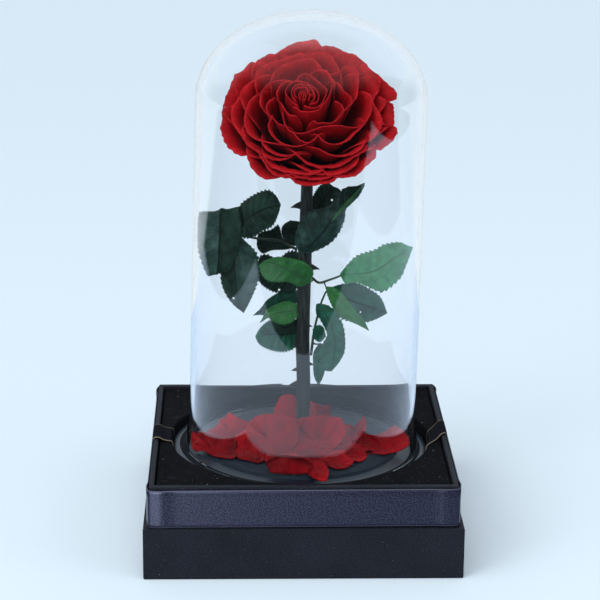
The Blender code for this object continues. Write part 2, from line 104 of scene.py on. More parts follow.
def eased(value):
    t = np.clip(value, 0.0, 1.0)
    return t * t * (3 - 2 * t)


def waves(x, y, seed):
    # Smooth irregular waves of about -1 to 1 over a surface's two coordinates
    rng = np.random.default_rng(seed)
    total = 0.0
    for octave in range(3):
        for _ in range(3):
            fx, fy = rng.normal(0, 1.0, 2) * 2.0 ** octave
            total = total + np.sin(fx * x + fy * y + rng.uniform(0, tau)) / 2.0 ** octave
    return total / 3.2


def onRing(radius, turn, height):
    return np.stack([radius * np.cos(turn), radius * np.sin(turn), height], -1)


def gridFaces(columns, rows, closed=False):
    faces = []
    for i in range(columns if closed else columns - 1):
        k = (i + 1) % columns
        faces += [(i * rows + j, k * rows + j, k * rows + j + 1, i * rows + j + 1) for j in range(rows - 1)]
    return faces


def meshPiece(name, points, faces, material, uv=None):
    mesh = bpy.data.meshes.new(name)
    mesh.from_pydata(np.asarray(points).reshape(-1, 3).tolist(), [], faces)
    if uv is not None:
        layer = mesh.uv_layers.new(name="lay")
        corners = np.empty(len(mesh.loops), np.int32)
        mesh.loops.foreach_get("vertex_index", corners)
        layer.data.foreach_set("uv", np.asarray(uv, np.float32).reshape(-1, 2)[corners].ravel())
    mesh.materials.append(material)
    mesh.shade_smooth()
    return addObject(name, mesh)


def gridPiece(name, points, material, closed=False):
    columns, rows = points.shape[:2]
    uv = np.stack(np.meshgrid(np.linspace(0, 1, columns), np.linspace(0, 1, rows), indexing="ij"), -1)
    return meshPiece(name, points, gridFaces(columns, rows, closed), material, uv)


def addWall(obj, thickness):
    wall = obj.modifiers.new("wall", "SOLIDIFY")
    wall.thickness, wall.offset = thickness, 0.0
    return obj


def repaired(obj, fill=False):
    # Open ends are filled, or coinciding points welded, and the normals are turned outwards
    bm = bmesh.new()
    bm.from_mesh(obj.data)
    if fill:
        bmesh.ops.holes_fill(bm, edges=bm.edges, sides=0)
    else:
        bmesh.ops.remove_doubles(bm, verts=bm.verts, dist=0.00001)
    bmesh.ops.recalc_face_normals(bm, faces=bm.faces)
    bm.to_mesh(obj.data)
    bm.free()
    return obj


def turnedPiece(name, profile, steps, material, place):
    # A profile of (radius, height) in mm, spun about the axis of a matrix
    bm = bmesh.new()
    rows = [bm.verts.new((r * mm, 0, z * mm)) for r, z in profile]
    for low, high in zip(rows, rows[1:]):
        bm.edges.new((low, high))
    bmesh.ops.spin(bm, geom=bm.verts[:] + bm.edges[:], axis=(0, 0, 1), cent=(0, 0, 0),
                   angle=tau, steps=steps, use_merge=True)
    bmesh.ops.remove_doubles(bm, verts=bm.verts, dist=0.00002)
    bmesh.ops.recalc_face_normals(bm, faces=bm.faces)
    bmesh.ops.transform(bm, matrix=place, verts=bm.verts)
    mesh = bpy.data.meshes.new(name)
    bm.to_mesh(mesh)
    bm.free()
    mesh.materials.append(material)
    mesh.shade_smooth()
    mesh.set_sharp_from_angle(angle=radians(32))
    return addObject(name, mesh)


def smoothRail(points, count):
    # Evenly spaced points on a smooth curve through the given ones
    rows = np.array([tuple(p) for p in points], float)
    rows = np.vstack([2 * rows[0] - rows[1], rows, 2 * rows[-1] - rows[-2]])
    t = np.linspace(0, 1, 16, endpoint=False)[:, None]
    fine = []
    for a, b, c, d in zip(rows, rows[1:], rows[2:], rows[3:]):
        fine.append(0.5 * (2 * b + (c - a) * t + (2 * a - 5 * b + 4 * c - d) * t ** 2
                           + (3 * b - a - 3 * c + d) * t ** 3))
    fine = np.vstack(fine + [rows[-2]])
    gone = np.concatenate([[0], np.cumsum(np.linalg.norm(np.diff(fine, axis=0), axis=1))])
    at = np.linspace(0, gone[-1], count)
    return np.stack([np.interp(at, gone, fine[:, k]) for k in range(fine.shape[1])], 1)


def placed(points, matrix):
    rows = np.asarray(points, float).reshape(-1, 3)
    turn = np.array(matrix.to_3x3())
    return (rows @ turn.T + np.array(matrix.translation)).reshape(np.shape(points))


def camel(name):
    # upper_left_tip becomes upperLeftTip
    first, *others = name.split("_")
    return first + "".join(part.title() for part in others)


# The disc's top leans a little, and the head leans forward on the stem
seatSetup = {"height": 47.0, "lean": 0.75, "headAside": 0.5, "headHeight": 180.5, "headLean": 36}
seat = (Matrix.Translation((0, 0, seatSetup["height"] * mm))
        @ Matrix.Rotation(radians(seatSetup["lean"]), 4, "Y"))
headPlace = (seat @ Matrix.Translation((seatSetup["headAside"] * mm, 0, seatSetup["headHeight"] * mm))
             @ Matrix.Rotation(radians(seatSetup["headLean"]), 4, "X"))


# Node trees

def mathOf(operation):
    return lambda wire, *others: wire.nodes.add("Math", 0, operation=operation, given=(wire, *others))


class Wire:
    # A node's output. Reckoning with it adds Math nodes
    __add__, __sub__, __mul__ = mathOf("ADD"), mathOf("SUBTRACT"), mathOf("MULTIPLY")
    __lt__, __gt__, __abs__ = mathOf("LESS_THAN"), mathOf("GREATER_THAN"), mathOf("ABSOLUTE")
    highest, power, sine, fraction = mathOf("MAXIMUM"), mathOf("POWER"), mathOf("SINE"), mathOf("FRACT")

    def __init__(self, nodes, socket):
        self.nodes, self.socket = nodes, socket

    def __rsub__(self, number):
        return self.nodes.add("Math", 0, operation="SUBTRACT", given=(number, self))

    def between(self, low, high):
        # 0 at low, 1 at high, smooth between
        return self.nodes.add("MapRange", "Result", interpolation_type="SMOOTHSTEP",
                              Value=self, From_Min=low, From_Max=high)

    def xyz(self):
        return self.nodes.add("SeparateXYZ", "X", "Y", "Z", Vector=self)


class Nodes:
    # Adds nodes to a tree. An input takes a wire, a number, a vector or a colour
    def __init__(self, tree):
        self.tree = tree

    def feed(self, socket, value):
        if isinstance(value, Wire):
            self.tree.links.new(value.socket, socket)
        elif value is not None:
            socket.default_value = (*value, 1) if socket.type == "RGBA" else value

    def put(self, made, values):
        for key, value in values.items():
            if key in made.bl_rna.properties:
                setattr(made, key, value)
            else:
                self.feed(made.inputs[key.replace("_", " ")], value)

    def add(self, kind, *outputs, given=(), **values):
        # A node with its properties and inputs by name, or inputs in order, and wires from its named outputs.
        # A shader node goes without its prefix
        made = self.tree.nodes.new(kind if "Node" in kind else f"ShaderNode{kind}")
        self.put(made, values)
        for socket, value in zip(made.inputs, given):
            self.feed(socket, value)
        wires = [Wire(self, made.outputs[key]) for key in outputs]
        return wires[0] if len(wires) == 1 else wires

    def use(self, group, *outputs, **values):
        return self.add("Group", *outputs, node_tree=group, **values)

    def mix(self, factor, first, second, blend="MIX"):
        return self.add("Mix", 2, data_type="RGBA", blend_type=blend,
                        given=(factor, *[None] * 5, first, second))

    def ramp(self, source, *stops):
        # Stops of (place, colour), where a number is a grey
        made = self.tree.nodes.new("ShaderNodeValToRGB")
        bar = made.color_ramp
        bar.elements.remove(bar.elements[-1])
        bar.elements[0].position = stops[0][0]
        for k, (place, colour) in enumerate(stops):
            stop = bar.elements.new(place) if k else bar.elements[0]
            stop.color = (*(colour if isinstance(colour, tuple) else [colour] * 3), 1)
        self.feed(made.inputs["Fac"], source)
        return Wire(self, made.outputs["Color"])

    def noise(self, vector, scale, detail=3.0, rough=0.6, warp=0.0):
        return self.add("TexNoise", "Fac", Vector=vector, Scale=scale, Detail=detail, Roughness=rough,
                        Distortion=warp)

    def stretched(self, vector, scale):
        return self.add("Mapping", "Vector", Vector=vector, Scale=scale)

    def specked(self, colour, point, scale, share, size, pale):
        # Pale specks over a colour
        mask = self.use(looseSpecks, "Mask", Vector=point, Scale=scale, Share=share, Size=size)
        return self.mix(mask, colour, pale)

    def shade(self, bump=None, **values):
        # The Principled shader's inputs, with a bump of (height, strength, distance)
        if bump:
            height, strength, distance = bump
            values["Normal"] = self.add("Bump", "Normal", Strength=strength, Distance=distance, Height=height)
        self.put(self.tree.nodes["Principled BSDF"], values)


def makeGroup(name, build, **inputs):
    # A shader group with these inputs: a vector where there is no default. It puts out what build returns
    tree = bpy.data.node_groups.new(name, "ShaderNodeTree")
    for label, value in inputs.items():
        kind = "NodeSocketVector" if value is None else "NodeSocketFloat"
        socket = tree.interface.new_socket(label, in_out="INPUT", socket_type=kind)
        if value is not None:
            socket.default_value = value
    nodes = Nodes(tree)
    made = build(nodes, *nodes.add("NodeGroupInput", *inputs))
    for label in made:
        tree.interface.new_socket(label, in_out="OUTPUT", socket_type="NodeSocketFloat")
    nodes.add("NodeGroupOutput", **made)
    return tree


def grain(nodes, vector, scale):
    # Fine grain at two scales: a tone from 0 to 1 and a height
    coarse = nodes.noise(vector, scale, 4.0)
    fine = nodes.add("TexVoronoi", "Distance", Vector=vector, Scale=scale * 3.0)
    return {"Tone": coarse, "Height": fine * 0.4 + coarse}


def specks(nodes, vector, scale, share, size):
    # Rare small specks of lint, dust or wear: one cell in many, as a mask
    away, colour = nodes.add("TexVoronoi", "Distance", "Color", Vector=vector, Scale=scale)
    chosen = nodes.add("SeparateColor", "Red", Color=colour) < share
    return {"Mask": chosen * (away < size)}


def weave(nodes, vector, along, across):
    # Threads both ways on a ribbon's own length and width, in threads along each
    x, y, _ = vector.xyz()
    threads = (y * across * tau).sine() * 0.5 + (x * along * tau).sine() * 0.25
    flaws = nodes.noise(nodes.stretched(vector, (900.0, 30.0, 1.0)), 1.0)
    return {"Thread": flaws, "Height": flaws * 2.0 + threads, "Edge": abs(y - 0.5) * 2.0}


def tissue(nodes, vector, place, veins):
    # Petal tissue on a petal's own UV, Y from base to rim: veins up it, mottling, and the rise to the rim
    x, y, _ = vector.xyz()
    vein = nodes.noise(nodes.add("CombineXYZ", "Vector", X=x * veins, Y=y * 5.0), 1.0, warp=0.4)
    mottle = nodes.noise(place, 170.0, 4.0, 0.65)
    velvet = nodes.noise(place, 1900.0, 2.0)
    crease = nodes.noise(place, 420.0, 3.0, 0.5, 1.2)
    return {"Vein": vein, "Mottle": mottle, "Height": vein * 0.8 + (velvet * 0.25 + crease),
            "Rise": mottle * 0.14 + (y - 0.07)}


def leafNet(nodes, vector, count):
    # Leaf veins on a leaflet's own UV, X across with the midrib at a half and Y from base to tip
    x, y, _ = vector.xyz()
    away = abs(x - 0.5) * 2.0
    row = y * count + nodes.noise(vector, 9.0, 2.0) * 0.9 - away.power(0.8) * 1.15
    vein = abs(row.fraction() - 0.5).between(0.42, 0.5)
    rib = (1.0 - away).between(0.93, 0.985)
    cells = nodes.add("TexVoronoi", "Distance", feature="DISTANCE_TO_EDGE", Scale=1.6,
                      Vector=nodes.stretched(vector, (14.0, 30.0, 1.0)))
    fine = (0.2 - cells).between(0.12, 0.2)
    return {"Vein": vein.highest(fine * 0.35), "Midrib": rib, "Height": 1.0 - vein.highest(rib).highest(fine * 0.4)}


fineGrain = makeGroup("fineGrain", grain, Vector=None, Scale=400.0)
looseSpecks = makeGroup("looseSpecks", specks, Vector=None, Scale=300.0, Share=0.03, Size=0.25)
ribbonWeave = makeGroup("ribbonWeave", weave, Vector=None, Along=1500.0, Across=60.0)
petalTissue = makeGroup("petalTissue", tissue, Vector=None, Place=None, Veins=60.0)
leafVeins = makeGroup("leafVeins", leafNet, Vector=None, Count=8.0)


# Materials

def newMaterial(name, look, *details):
    material = bpy.data.materials.new(name)
    material.use_nodes = True
    look(Nodes(material.node_tree), *details)
    return material


def grainLook(nodes, finish):
    # A grained surface: a colour between two by the grain, pale specks, and its bump
    point = nodes.add("TexCoord", "Object")
    tone, height = nodes.use(fineGrain, "Tone", "Height", Scale=finish["scale"],
                             Vector=nodes.stretched(point, finish.get("stretch", (1, 1, 1))))
    colour = nodes.ramp(tone, (0.32, finish["dark"]), (0.68, finish["light"]))
    cloud = nodes.ramp(nodes.noise(point, 35.0, 2.0), (0.3, 0.8), (0.7, 1.15))
    colour = nodes.mix(1.0, colour, cloud, "MULTIPLY")
    for row in finish.get("specks", ()):
        colour = nodes.specked(colour, point, *row)
    nodes.shade((height, *finish["bump"]), Base_Color=colour, Specular_IOR_Level=finish.get("specular", 0.5),
                Roughness=nodes.ramp(tone, (0.3, finish["rough"]), (0.7, finish["rough"] + 0.12)))


boardFinish = newMaterial("blackBoard", grainLook, {
    "dark": (0.001, 0.0015, 0.004), "light": (0.022, 0.026, 0.042), "scale": 1000, "stretch": (1, 1, 1.6), "rough": 0.6,
    "specular": 0.2, "bump": (1.0, 0.0005),
    "specks": [(420, 0.010, 0.16, (0.10, 0.11, 0.13)), (900, 0.02, 0.3, (0.045, 0.05, 0.065))]})
feltFinish = newMaterial("blackFelt", grainLook, {
    "dark": (0.0025, 0.003, 0.0045), "light": (0.009, 0.010, 0.014), "scale": 1500, "rough": 0.9, "specular": 0.07,
    "bump": (1.0, 0.0006),
    "specks": [(350, 0.05, 0.17, (0.16, 0.17, 0.19)), (800, 0.08, 0.3, (0.06, 0.065, 0.08))]})
barkFinish = newMaterial("stemBark", grainLook, {
    "dark": (0.003, 0.006, 0.006), "light": (0.028, 0.040, 0.038), "scale": 700, "stretch": (1, 1, 0.12), "rough": 0.55,
    "specular": 0.4, "bump": (0.9, 0.0007), "specks": [(450, 0.012, 0.25, (0.14, 0.16, 0.15))]})
stalkFinish = newMaterial("leafStalk", grainLook, {
    "dark": (0.010, 0.030, 0.020), "light": (0.035, 0.080, 0.050), "scale": 500, "stretch": (1, 1, 0.3), "rough": 0.5,
    "bump": (0.5, 0.0002)})


def ribbonLook(nodes, finish):
    # Woven threads, dark to light by their flaws, with an edge stitched in two colours
    thread, height, edge = nodes.use(ribbonWeave, "Thread", "Height", "Edge", Along=finish["along"],
                                     Across=finish["across"], Vector=nodes.add("TexCoord", "UV"))
    stitched = nodes.mix(height.between(0.75, 1.25), *finish["stitches"])
    colour = nodes.mix(edge.between(*finish["edge"]), nodes.ramp(thread, *finish["threads"]), stitched)
    nodes.shade((height, *finish["bump"]), Base_Color=colour, **finish["shader"])


# Satin that catches light up and down, and a lift ribbon with pale tan threads along its edges
satinFinish = newMaterial("bandSatin", ribbonLook, {
    "along": 2300.0, "across": 70.0, "threads": ((0.42, (0.0004, 0.0006, 0.002)), (0.62, (0.016, 0.018, 0.034))),
    "edge": (0.95, 0.98), "stitches": ((0.030, 0.034, 0.055), (0.030, 0.034, 0.055)), "bump": (0.12, 0.0003),
    "shader": {"Roughness": 0.32, "Anisotropic": 0.8, "Anisotropic_Rotation": 0.25, "Specular_IOR_Level": 0.20,
               "Specular_Tint": (0.60, 0.68, 1.0)}})
wovenFinish = newMaterial("wovenRibbon", ribbonLook, {
    "along": 620.0, "across": 44.0, "threads": ((0.3, (0.003, 0.0035, 0.006)), (0.7, (0.011, 0.012, 0.018))),
    "edge": (0.90, 0.94), "stitches": ((0.07, 0.06, 0.05), (0.30, 0.26, 0.21)), "bump": (0.5, 0.0003),
    "shader": {"Roughness": 0.8, "Specular_IOR_Level": 0.03}})


def leafLook(nodes, skin):
    # Leaf skin: mottled green, midrib and side veins, pale bloom patches that are partly painted sheen, a few torn
    # pinholes, and one half darkened as painted shade
    lay, point = nodes.add("TexCoord", "UV", "Object")
    vein, midrib, height = nodes.use(leafVeins, "Vein", "Midrib", "Height", Vector=lay)
    mottle = nodes.noise(point, 190.0, 4.0, 0.65)
    # pale patches: partly the leaf's own bloom, partly painted sheen
    bloom = nodes.noise(point, 60.0, 2.0).between(0.48, 0.72)
    # painted shade: the colour darkened on one side of the midrib, across the skin's lit range
    shade = nodes.mix(lay.xyz()[0].between(*skin["lit"]), (0.36, 0.5, 0.38), (1.0, 1.0, 1.0))
    colour = nodes.ramp(mottle, (0.3, skin["dark"]), (0.55, skin["middle"]), (0.75, skin["light"]))
    colour = nodes.mix(bloom * skin["bloomAndSheenShare"], colour, skin["bloom"])
    colour = nodes.mix(vein * skin["veined"], colour, skin["vein"])
    colour = nodes.mix(midrib, colour, skin["rib"])
    holes = nodes.use(looseSpecks, "Mask", Vector=point, Scale=230.0, Share=skin["holes"], Size=0.15)
    nodes.shade((height, 0.5, 0.0004), Base_Color=nodes.mix(1.0, colour, shade, "MULTIPLY"),
                Roughness=nodes.ramp(mottle, (0.3, 0.34), (0.7, 0.52)), Specular_IOR_Level=skin["specular"],
                Alpha=1.0 - holes)


def petalLook(nodes, veins, rough, *stops):
    # Velvety petal with fine veins. Its colour runs from near black red at the base, partly the petal's own deeper red
    # and partly painted shade of the gaps between petals, to bright red at the rim, brightest at the very edge as a
    # painted highlight
    lay, point = nodes.add("TexCoord", "UV", "Object")
    vein, mottle, height, rise = nodes.use(petalTissue, "Vein", "Mottle", "Height", "Rise", Vector=lay, Place=point,
                                           Veins=veins)
    colour = nodes.mix(1.0, nodes.ramp(rise, *stops), nodes.ramp(mottle, (0.3, 0.72), (0.7, 1.15)), "MULTIPLY")
    colour = nodes.mix(1.0, colour, nodes.ramp(vein, (0.35, 0.80), (0.65, 1.1)), "MULTIPLY")
    nodes.shade((height, 0.35, 0.0005), Base_Color=colour, Specular_IOR_Level=0.09, Sheen_Weight=0.02,
                Sheen_Roughness=0.5, Sheen_Tint=(1.0, 0.6, 0.65),
                Roughness=nodes.ramp(mottle, (0.3, rough), (0.7, rough + 0.15)))


def discLook(nodes):
    # Moulded disc: the plateau dull, the flange polished, a little dust, a black ring under the glass
    point = nodes.add("TexCoord", "Object")
    tone, height = nodes.use(fineGrain, "Tone", "Height", Vector=point, Scale=700.0)
    away = nodes.add("VectorMath", "Value", operation="LENGTH", Vector=nodes.stretched(point, (1, 1, 0)))
    ring = away.between(0.0651, 0.0654) * (0.14 - away).between(0.0686, 0.0689)
    colour = nodes.ramp(tone, (0.3, (0.005, 0.009, 0.017)), (0.7, (0.010, 0.015, 0.027)))
    colour = nodes.specked(colour, point, 420.0, 0.02, 0.10, (0.12, 0.13, 0.14))
    rough = nodes.ramp(away.between(0.0575, 0.0585), (0.0, 0.62), (1.0, 0.30))
    nodes.shade((height, 0.04, 0.0001), Base_Color=nodes.mix(ring, colour, (0.002, 0.0025, 0.0035)),
                Roughness=nodes.mix(ring, rough, (0.95, 0.95, 0.95)), Specular_IOR_Level=0.32,
                Specular_Tint=(0.62, 0.86, 1.0))


def glassLook(nodes):
    nodes.shade(Base_Color=(0.992, 0.996, 1.0), Roughness=0.0, IOR=1.5, Transmission_Weight=1.0)


discFinish, glassFinish = newMaterial("baseDisc", discLook), newMaterial("domeGlass", glassLook)
# stops from base to rim: the near black base is partly painted shade, the brightest stop at the edge a painted
# highlight
rosePetalFinish = newMaterial(
    "rosePetal", petalLook, 60.0, 0.5, (0.0, (0.010, 0.0004, 0.001)), (0.35, (0.050, 0.0008, 0.002)),
    (0.60, (0.24, 0.0015, 0.004)), (0.84, (0.39, 0.002, 0.005)), (0.97, (0.38, 0.003, 0.007)),
    (1.0, (0.44, 0.006, 0.012)))
# darker towards the narrow base and lighter at the rim: partly the petal's own colour, partly painted shade and a
# painted highlight
fallenPetalFinish = newMaterial(
    "fallenPetal", petalLook, 34.0, 0.45, (0.0, (0.09, 0.0008, 0.002)), (0.3, (0.17, 0.0014, 0.004)),
    (0.7, (0.24, 0.002, 0.006)), (1.0, (0.36, 0.006, 0.012)))

# The last column, lit, is the range across the leaf where the painted shade on one half gives way; from -1 to -0.5
# there is none
leafColumns = ("dark", "middle", "light", "vein", "rib", "bloom", "veined", "bloomAndSheenShare", "specular", "holes", "lit")
# The bloom colour over random patches is partly the leaves' own pale bloom and partly painted sheen
leafSkins = {
    "dark": ((0.002, 0.010, 0.006), (0.005, 0.024, 0.015), (0.020, 0.072, 0.046), (0.045, 0.12, 0.09),
             (0.002, 0.009, 0.006), (0.030, 0.080, 0.060), 0.32, 0.36, 0.22, 0.08, (-1.0, -0.5)),
    "hazy": ((0.004, 0.024, 0.017), (0.014, 0.050, 0.038), (0.044, 0.115, 0.092), (0.060, 0.15, 0.12),
             (0.002, 0.009, 0.006), (0.10, 0.19, 0.18), 0.36, 0.5, 0.3, 0.09, (0.53, 0.47)),
    "misty": ((0.002, 0.014, 0.009), (0.008, 0.034, 0.025), (0.028, 0.088, 0.068), (0.045, 0.12, 0.10),
              (0.002, 0.009, 0.006), (0.075, 0.15, 0.14), 0.34, 0.45, 0.24, 0.05, (-1.0, -0.5)),
    "deep": ((0.002, 0.036, 0.020), (0.007, 0.085, 0.050), (0.018, 0.15, 0.095), (0.040, 0.16, 0.12),
             (0.003, 0.020, 0.012), (0.045, 0.15, 0.12), 0.30, 0.4, 0.24, 0.10, (-1.0, -0.5)),
    "pale": ((0.014, 0.14, 0.050), (0.034, 0.235, 0.085), (0.070, 0.33, 0.13), (0.022, 0.10, 0.050),
             (0.020, 0.090, 0.040), (0.12, 0.32, 0.17), 0.7, 0.4, 0.28, 0.02, (-1.0, -0.5)),
    "bright": ((0.010, 0.085, 0.018), (0.022, 0.150, 0.032), (0.050, 0.24, 0.070), (0.018, 0.075, 0.032),
               (0.020, 0.080, 0.035), (0.10, 0.23, 0.12), 0.7, 0.4, 0.28, 0.014, (-1.0, -0.5)),
}
# glossy is the hazy tone with its painted shade on the other half of the leaf
leafSkins["glossy"] = (*leafSkins["hazy"][:-1], (0.40, 0.56))
leafFinishes = {tone: newMaterial(f"{tone}Leaf", leafLook, dict(zip(leafColumns, skin)))
                for tone, skin in leafSkins.items()}

finished = []


def keep(obj, nodes=()):
    # Hands a finished piece to the frame
    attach(obj, "root")
    if nodes:
        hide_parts(*nodes)
    finished.append(obj.name)
    return obj


# Stage and light

stageSetup = {
    "floor": (0.74, 0.86, 0.965),
    "floorHalf": 6.0,                       # m
    "paper": (0.72, 0.845, 0.955),          # what the camera sees beyond the floor
    "roomDark": (0.015, 0.018, 0.024),      # the unlit room in front and at the sides
    "table": (-578.0, 1080.0, -446.0),      # mm, the white table's left, right and front edges
    "tableSlant": 0.2,                      # how much the front edge runs forward on the right
    "tableMirrored": (0.68, 0.82, 1.0),
    "paperMirrored": (0.90, 0.96, 1.0),     # the wide paper behind it
    "paperStart": 400.0,                    # mm, behind this the paper is wider than the table
    "footDark": (48.5, 64.3),               # mm, the dome's curved foot mirrors only the dark room
    "footFade": (0.5, 0.8),                 # mm, how softly that darkness starts and ends
    "wallMirrored": (0.80, 0.90, 0.985),
    "ceiling": 0.31,                        # how far the ceiling comes up to the wall
    "ambient": (0.93, 0.98, 1.0),
    "ambientLevel": 0.45,
    "middle": (0, 0, 0.18),                 # what the lamps are aimed at
    "band": (-0.06, -0.08, 0.04),
}
lampSetup = {
    # the wide even light from above, two softboxes, and a low lamp that gives the satin its sheen
    "overhead": ("SUN", (-0.35, -0.55, 1.4), "middle", {"energy": 1.75, "angle": radians(70)}),
    "leftSoftbox": ("AREA", (-0.9, -0.95, 0.75), "middle", {"energy": 4.0, "size": 0.5, "size_y": 0.9}),
    "rightSoftbox": ("AREA", (1.0, -0.6, 0.7), "middle", {"energy": 2.4, "size": 0.7, "size_y": 0.9}),
    "leftStrip": ("AREA", (-0.36, -1.12, 0.22), "band", {"energy": 34.0, "size": 0.10, "size_y": 0.5}),
}


def floorLook(nodes):
    # A pale floor. In reflections it is the white table alone, and the room round it is dark
    s = stageSetup
    length, depth = nodes.add("LightPath", "Ray Length", "Glossy Depth")
    place, incoming = nodes.add("NewGeometry", "Position", "Incoming")
    x, y, _ = place.xyz()
    left, right, front, paper = (edge * mm for edge in (*s["table"], s["paperStart"]))
    off = (x < left).highest(x > right) * (y < paper)
    off = off.highest(y + x.highest(0.0) * s["tableSlant"] < front)
    height = length * incoming.xyz()[2]     # of what mirrors the floor
    low, high, fadeIn, fadeOut = (edge * mm for edge in (*s["footDark"], *s["footFade"]))
    off = off.highest(height.between(low, low + fadeIn) * (1.0 - height.between(high - fadeOut, high)))
    mirrored = depth > 0.5
    white = nodes.mix(y > paper, s["tableMirrored"], s["paperMirrored"])
    colour = nodes.mix(mirrored, s["floor"], white)
    nodes.shade(Base_Color=nodes.mix(off * mirrored, colour, s["roomDark"]), Roughness=0.9, Specular_IOR_Level=0.0)


def makeFloor():
    half = stageSetup["floorHalf"]
    corners = [(-half, -half, 0), (half, -half, 0), (half, half, 0), (-half, half, 0)]
    meshPiece("studioFloor", corners, [(0, 1, 2, 3)], newMaterial("studioFloor", floorLook))


def makeWorld():
    # Pale paper for the camera, even light on the object, and in reflections a white wall behind
    s = stageSetup
    world = bpy.data.worlds.new("studio")
    bpy.context.scene.world = world
    world.use_nodes = True
    nodes = Nodes(world.node_tree)
    camera, glossy, through, glossyDepth, diffuseDepth = nodes.add(
        "LightPath", "Is Camera Ray", "Is Glossy Ray", "Is Transmission Ray", "Glossy Depth", "Diffuse Depth")
    _, y, z = nodes.add("TexCoord", "Generated").xyz()
    near = (1.0 - z.between(0.1, 0.4)) * 0.3
    wall = (y - near).between(0.0, 0.45).highest(z.between(0.52, 0.84) * s["ceiling"])
    mirror = nodes.mix(wall, s["roomDark"], s["wallMirrored"])
    ambient = tuple(s["ambientLevel"] * c for c in s["ambient"])
    lighting = nodes.mix((glossyDepth > 0.5).highest(glossy), ambient, mirror)
    straight = camera.highest(through * (glossyDepth + diffuseDepth < 0.5))
    nodes.put(nodes.tree.nodes["Background"], {"Color": nodes.mix(straight, lighting, s["paper"])})


def makeLamp(name, kind, place, aim, values):
    data = bpy.data.lights.new(name, kind)
    if kind == "AREA":
        data.shape = "RECTANGLE"
    for key, value in values.items():
        setattr(data, key, value)
    lamp = addObject(name, data)
    lamp.location = place
    lamp.rotation_euler = (Vector(stageSetup[aim]) - Vector(place)).to_track_quat("-Z", "Y").to_euler()
    lamp.visible_camera = False
    return lamp


def linkLamps(names, obj, state):
    # Lamps that leave a piece out, or that light it alone
    lit = bpy.data.collections.new("lampReceivers")
    lit.objects.link(obj)
    lit.collection_objects[0].light_linking.link_state = state
    for name in names:
        lamps[name].light_linking.receiver_collection = lit


makeFloor()
makeWorld()
lamps = {name: makeLamp(name, *spec) for name, spec in lampSetup.items()}
bpy.context.scene.view_settings.view_transform = "Standard"
print("camera, stage and light ready")


# Gift box: the tray and neck keep their CAD shape

for name in ("base_tray", "neck_frame"):
    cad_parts[name].data.materials[0] = boardFinish

insertSetup = {"width": 165.4, "depth": 162.2, "low": 3.6, "top": 52.0, "pocket": 76.5, "floor": 38.6,
               "edge": 0.5, "lip": 1.0, "steps": 160}


def makeInsert():
    # A block with a round pocket, its felt rolled over the pocket's lip
    s = insertSetup
    halfX, halfY = s["width"] / 2, s["depth"] / 2
    rows = []
    for i in range(s["steps"]):
        c, d = cos(tau * i / s["steps"]), sin(tau * i / s["steps"])
        reach = min(halfX / max(abs(c), 1e-9), halfY / max(abs(d), 1e-9))
        line = [(0, s["low"]), (reach, s["low"]), (reach, s["top"] - s["edge"]), (reach - s["edge"], s["top"])]
        line += [(mixed(reach - 1, s["pocket"] + s["lip"], k / 6), s["top"]) for k in range(7)]
        for k in range(1, 6):
            bend = pi / 2 * k / 5
            line.append((s["pocket"] + s["lip"] * (1 - sin(bend)), s["top"] - s["lip"] * (1 - cos(bend))))
        line += [(s["pocket"], s["floor"]), (0, s["floor"])]
        rows.append([(r * c, r * d, z) for r, z in line])
    points = np.array(rows) * mm
    obj = repaired(meshPiece("feltInsert", points, gridFaces(s["steps"], points.shape[1], closed=True), feltFinish))
    obj.data.set_sharp_from_angle(angle=radians(50))
    keep(obj, ["foam_insert"])


makeInsert()

# Satin band round the neck, bulged a little and swollen beside the corners

bandSetup = {"width": 22.0, "low": 30.4, "rise": 0.7, "side": 174.1, "corner": 1.6, "thick": 0.5, "bulge": 0.15,
             "swell": 0.75, "swellAt": 5.5, "swellWide": 4.0, "rows": 13}


def bandPath():
    # Points round the neck with the outward direction at each
    s = bandSetup
    half = s["side"] / 2 - s["corner"]
    path = []
    for corner, (sx, sy) in enumerate(((1, 1), (-1, 1), (-1, -1), (1, -1))):
        for k in range(7):
            c, d = cos((corner + k / 6) * pi / 2), sin((corner + k / 6) * pi / 2)
            path.append((sx * half + s["corner"] * c, sy * half + s["corner"] * d, c, d))
        nx, ny = cos((corner + 1) * pi / 2), sin((corner + 1) * pi / 2)
        ax, ay = path[-1][:2]
        bx, by = ax - ny * 2 * half, ay + nx * 2 * half
        for share in np.arange(1, 60) / 60:
            fromEnd = min(share, 1 - share) * 2 * half
            out = s["bulge"] * (1 - exp(-fromEnd / 3))
            out += s["swell"] * exp(-((fromEnd - s["swellAt"]) / s["swellWide"]) ** 2)
            path.append((mixed(ax, bx, share) + nx * out, mixed(ay, by, share) + ny * out, nx, ny))
    return np.array(path)


def makeBand():
    s = bandSetup
    path = bandPath()
    across = np.linspace(0, 1, s["rows"])
    points = np.zeros((len(path), s["rows"], 3))
    points[:, :, :2] = path[:, None, :2]
    points[:, :, 2] = s["low"] + across * s["width"] + s["rise"] * (path[:, None, 0] / s["side"] + 0.5)
    obj = addWall(gridPiece("satinBand", points * mm, satinFinish, closed=True), s["thick"] * mm)
    keep(obj, ["ribbon_band"])
    linkLamps(["leftStrip"], obj, "INCLUDE")


makeBand()

# Lift ribbon under the disc: (x, z, y, wrap), wrap 1 follows the pocket's round wall

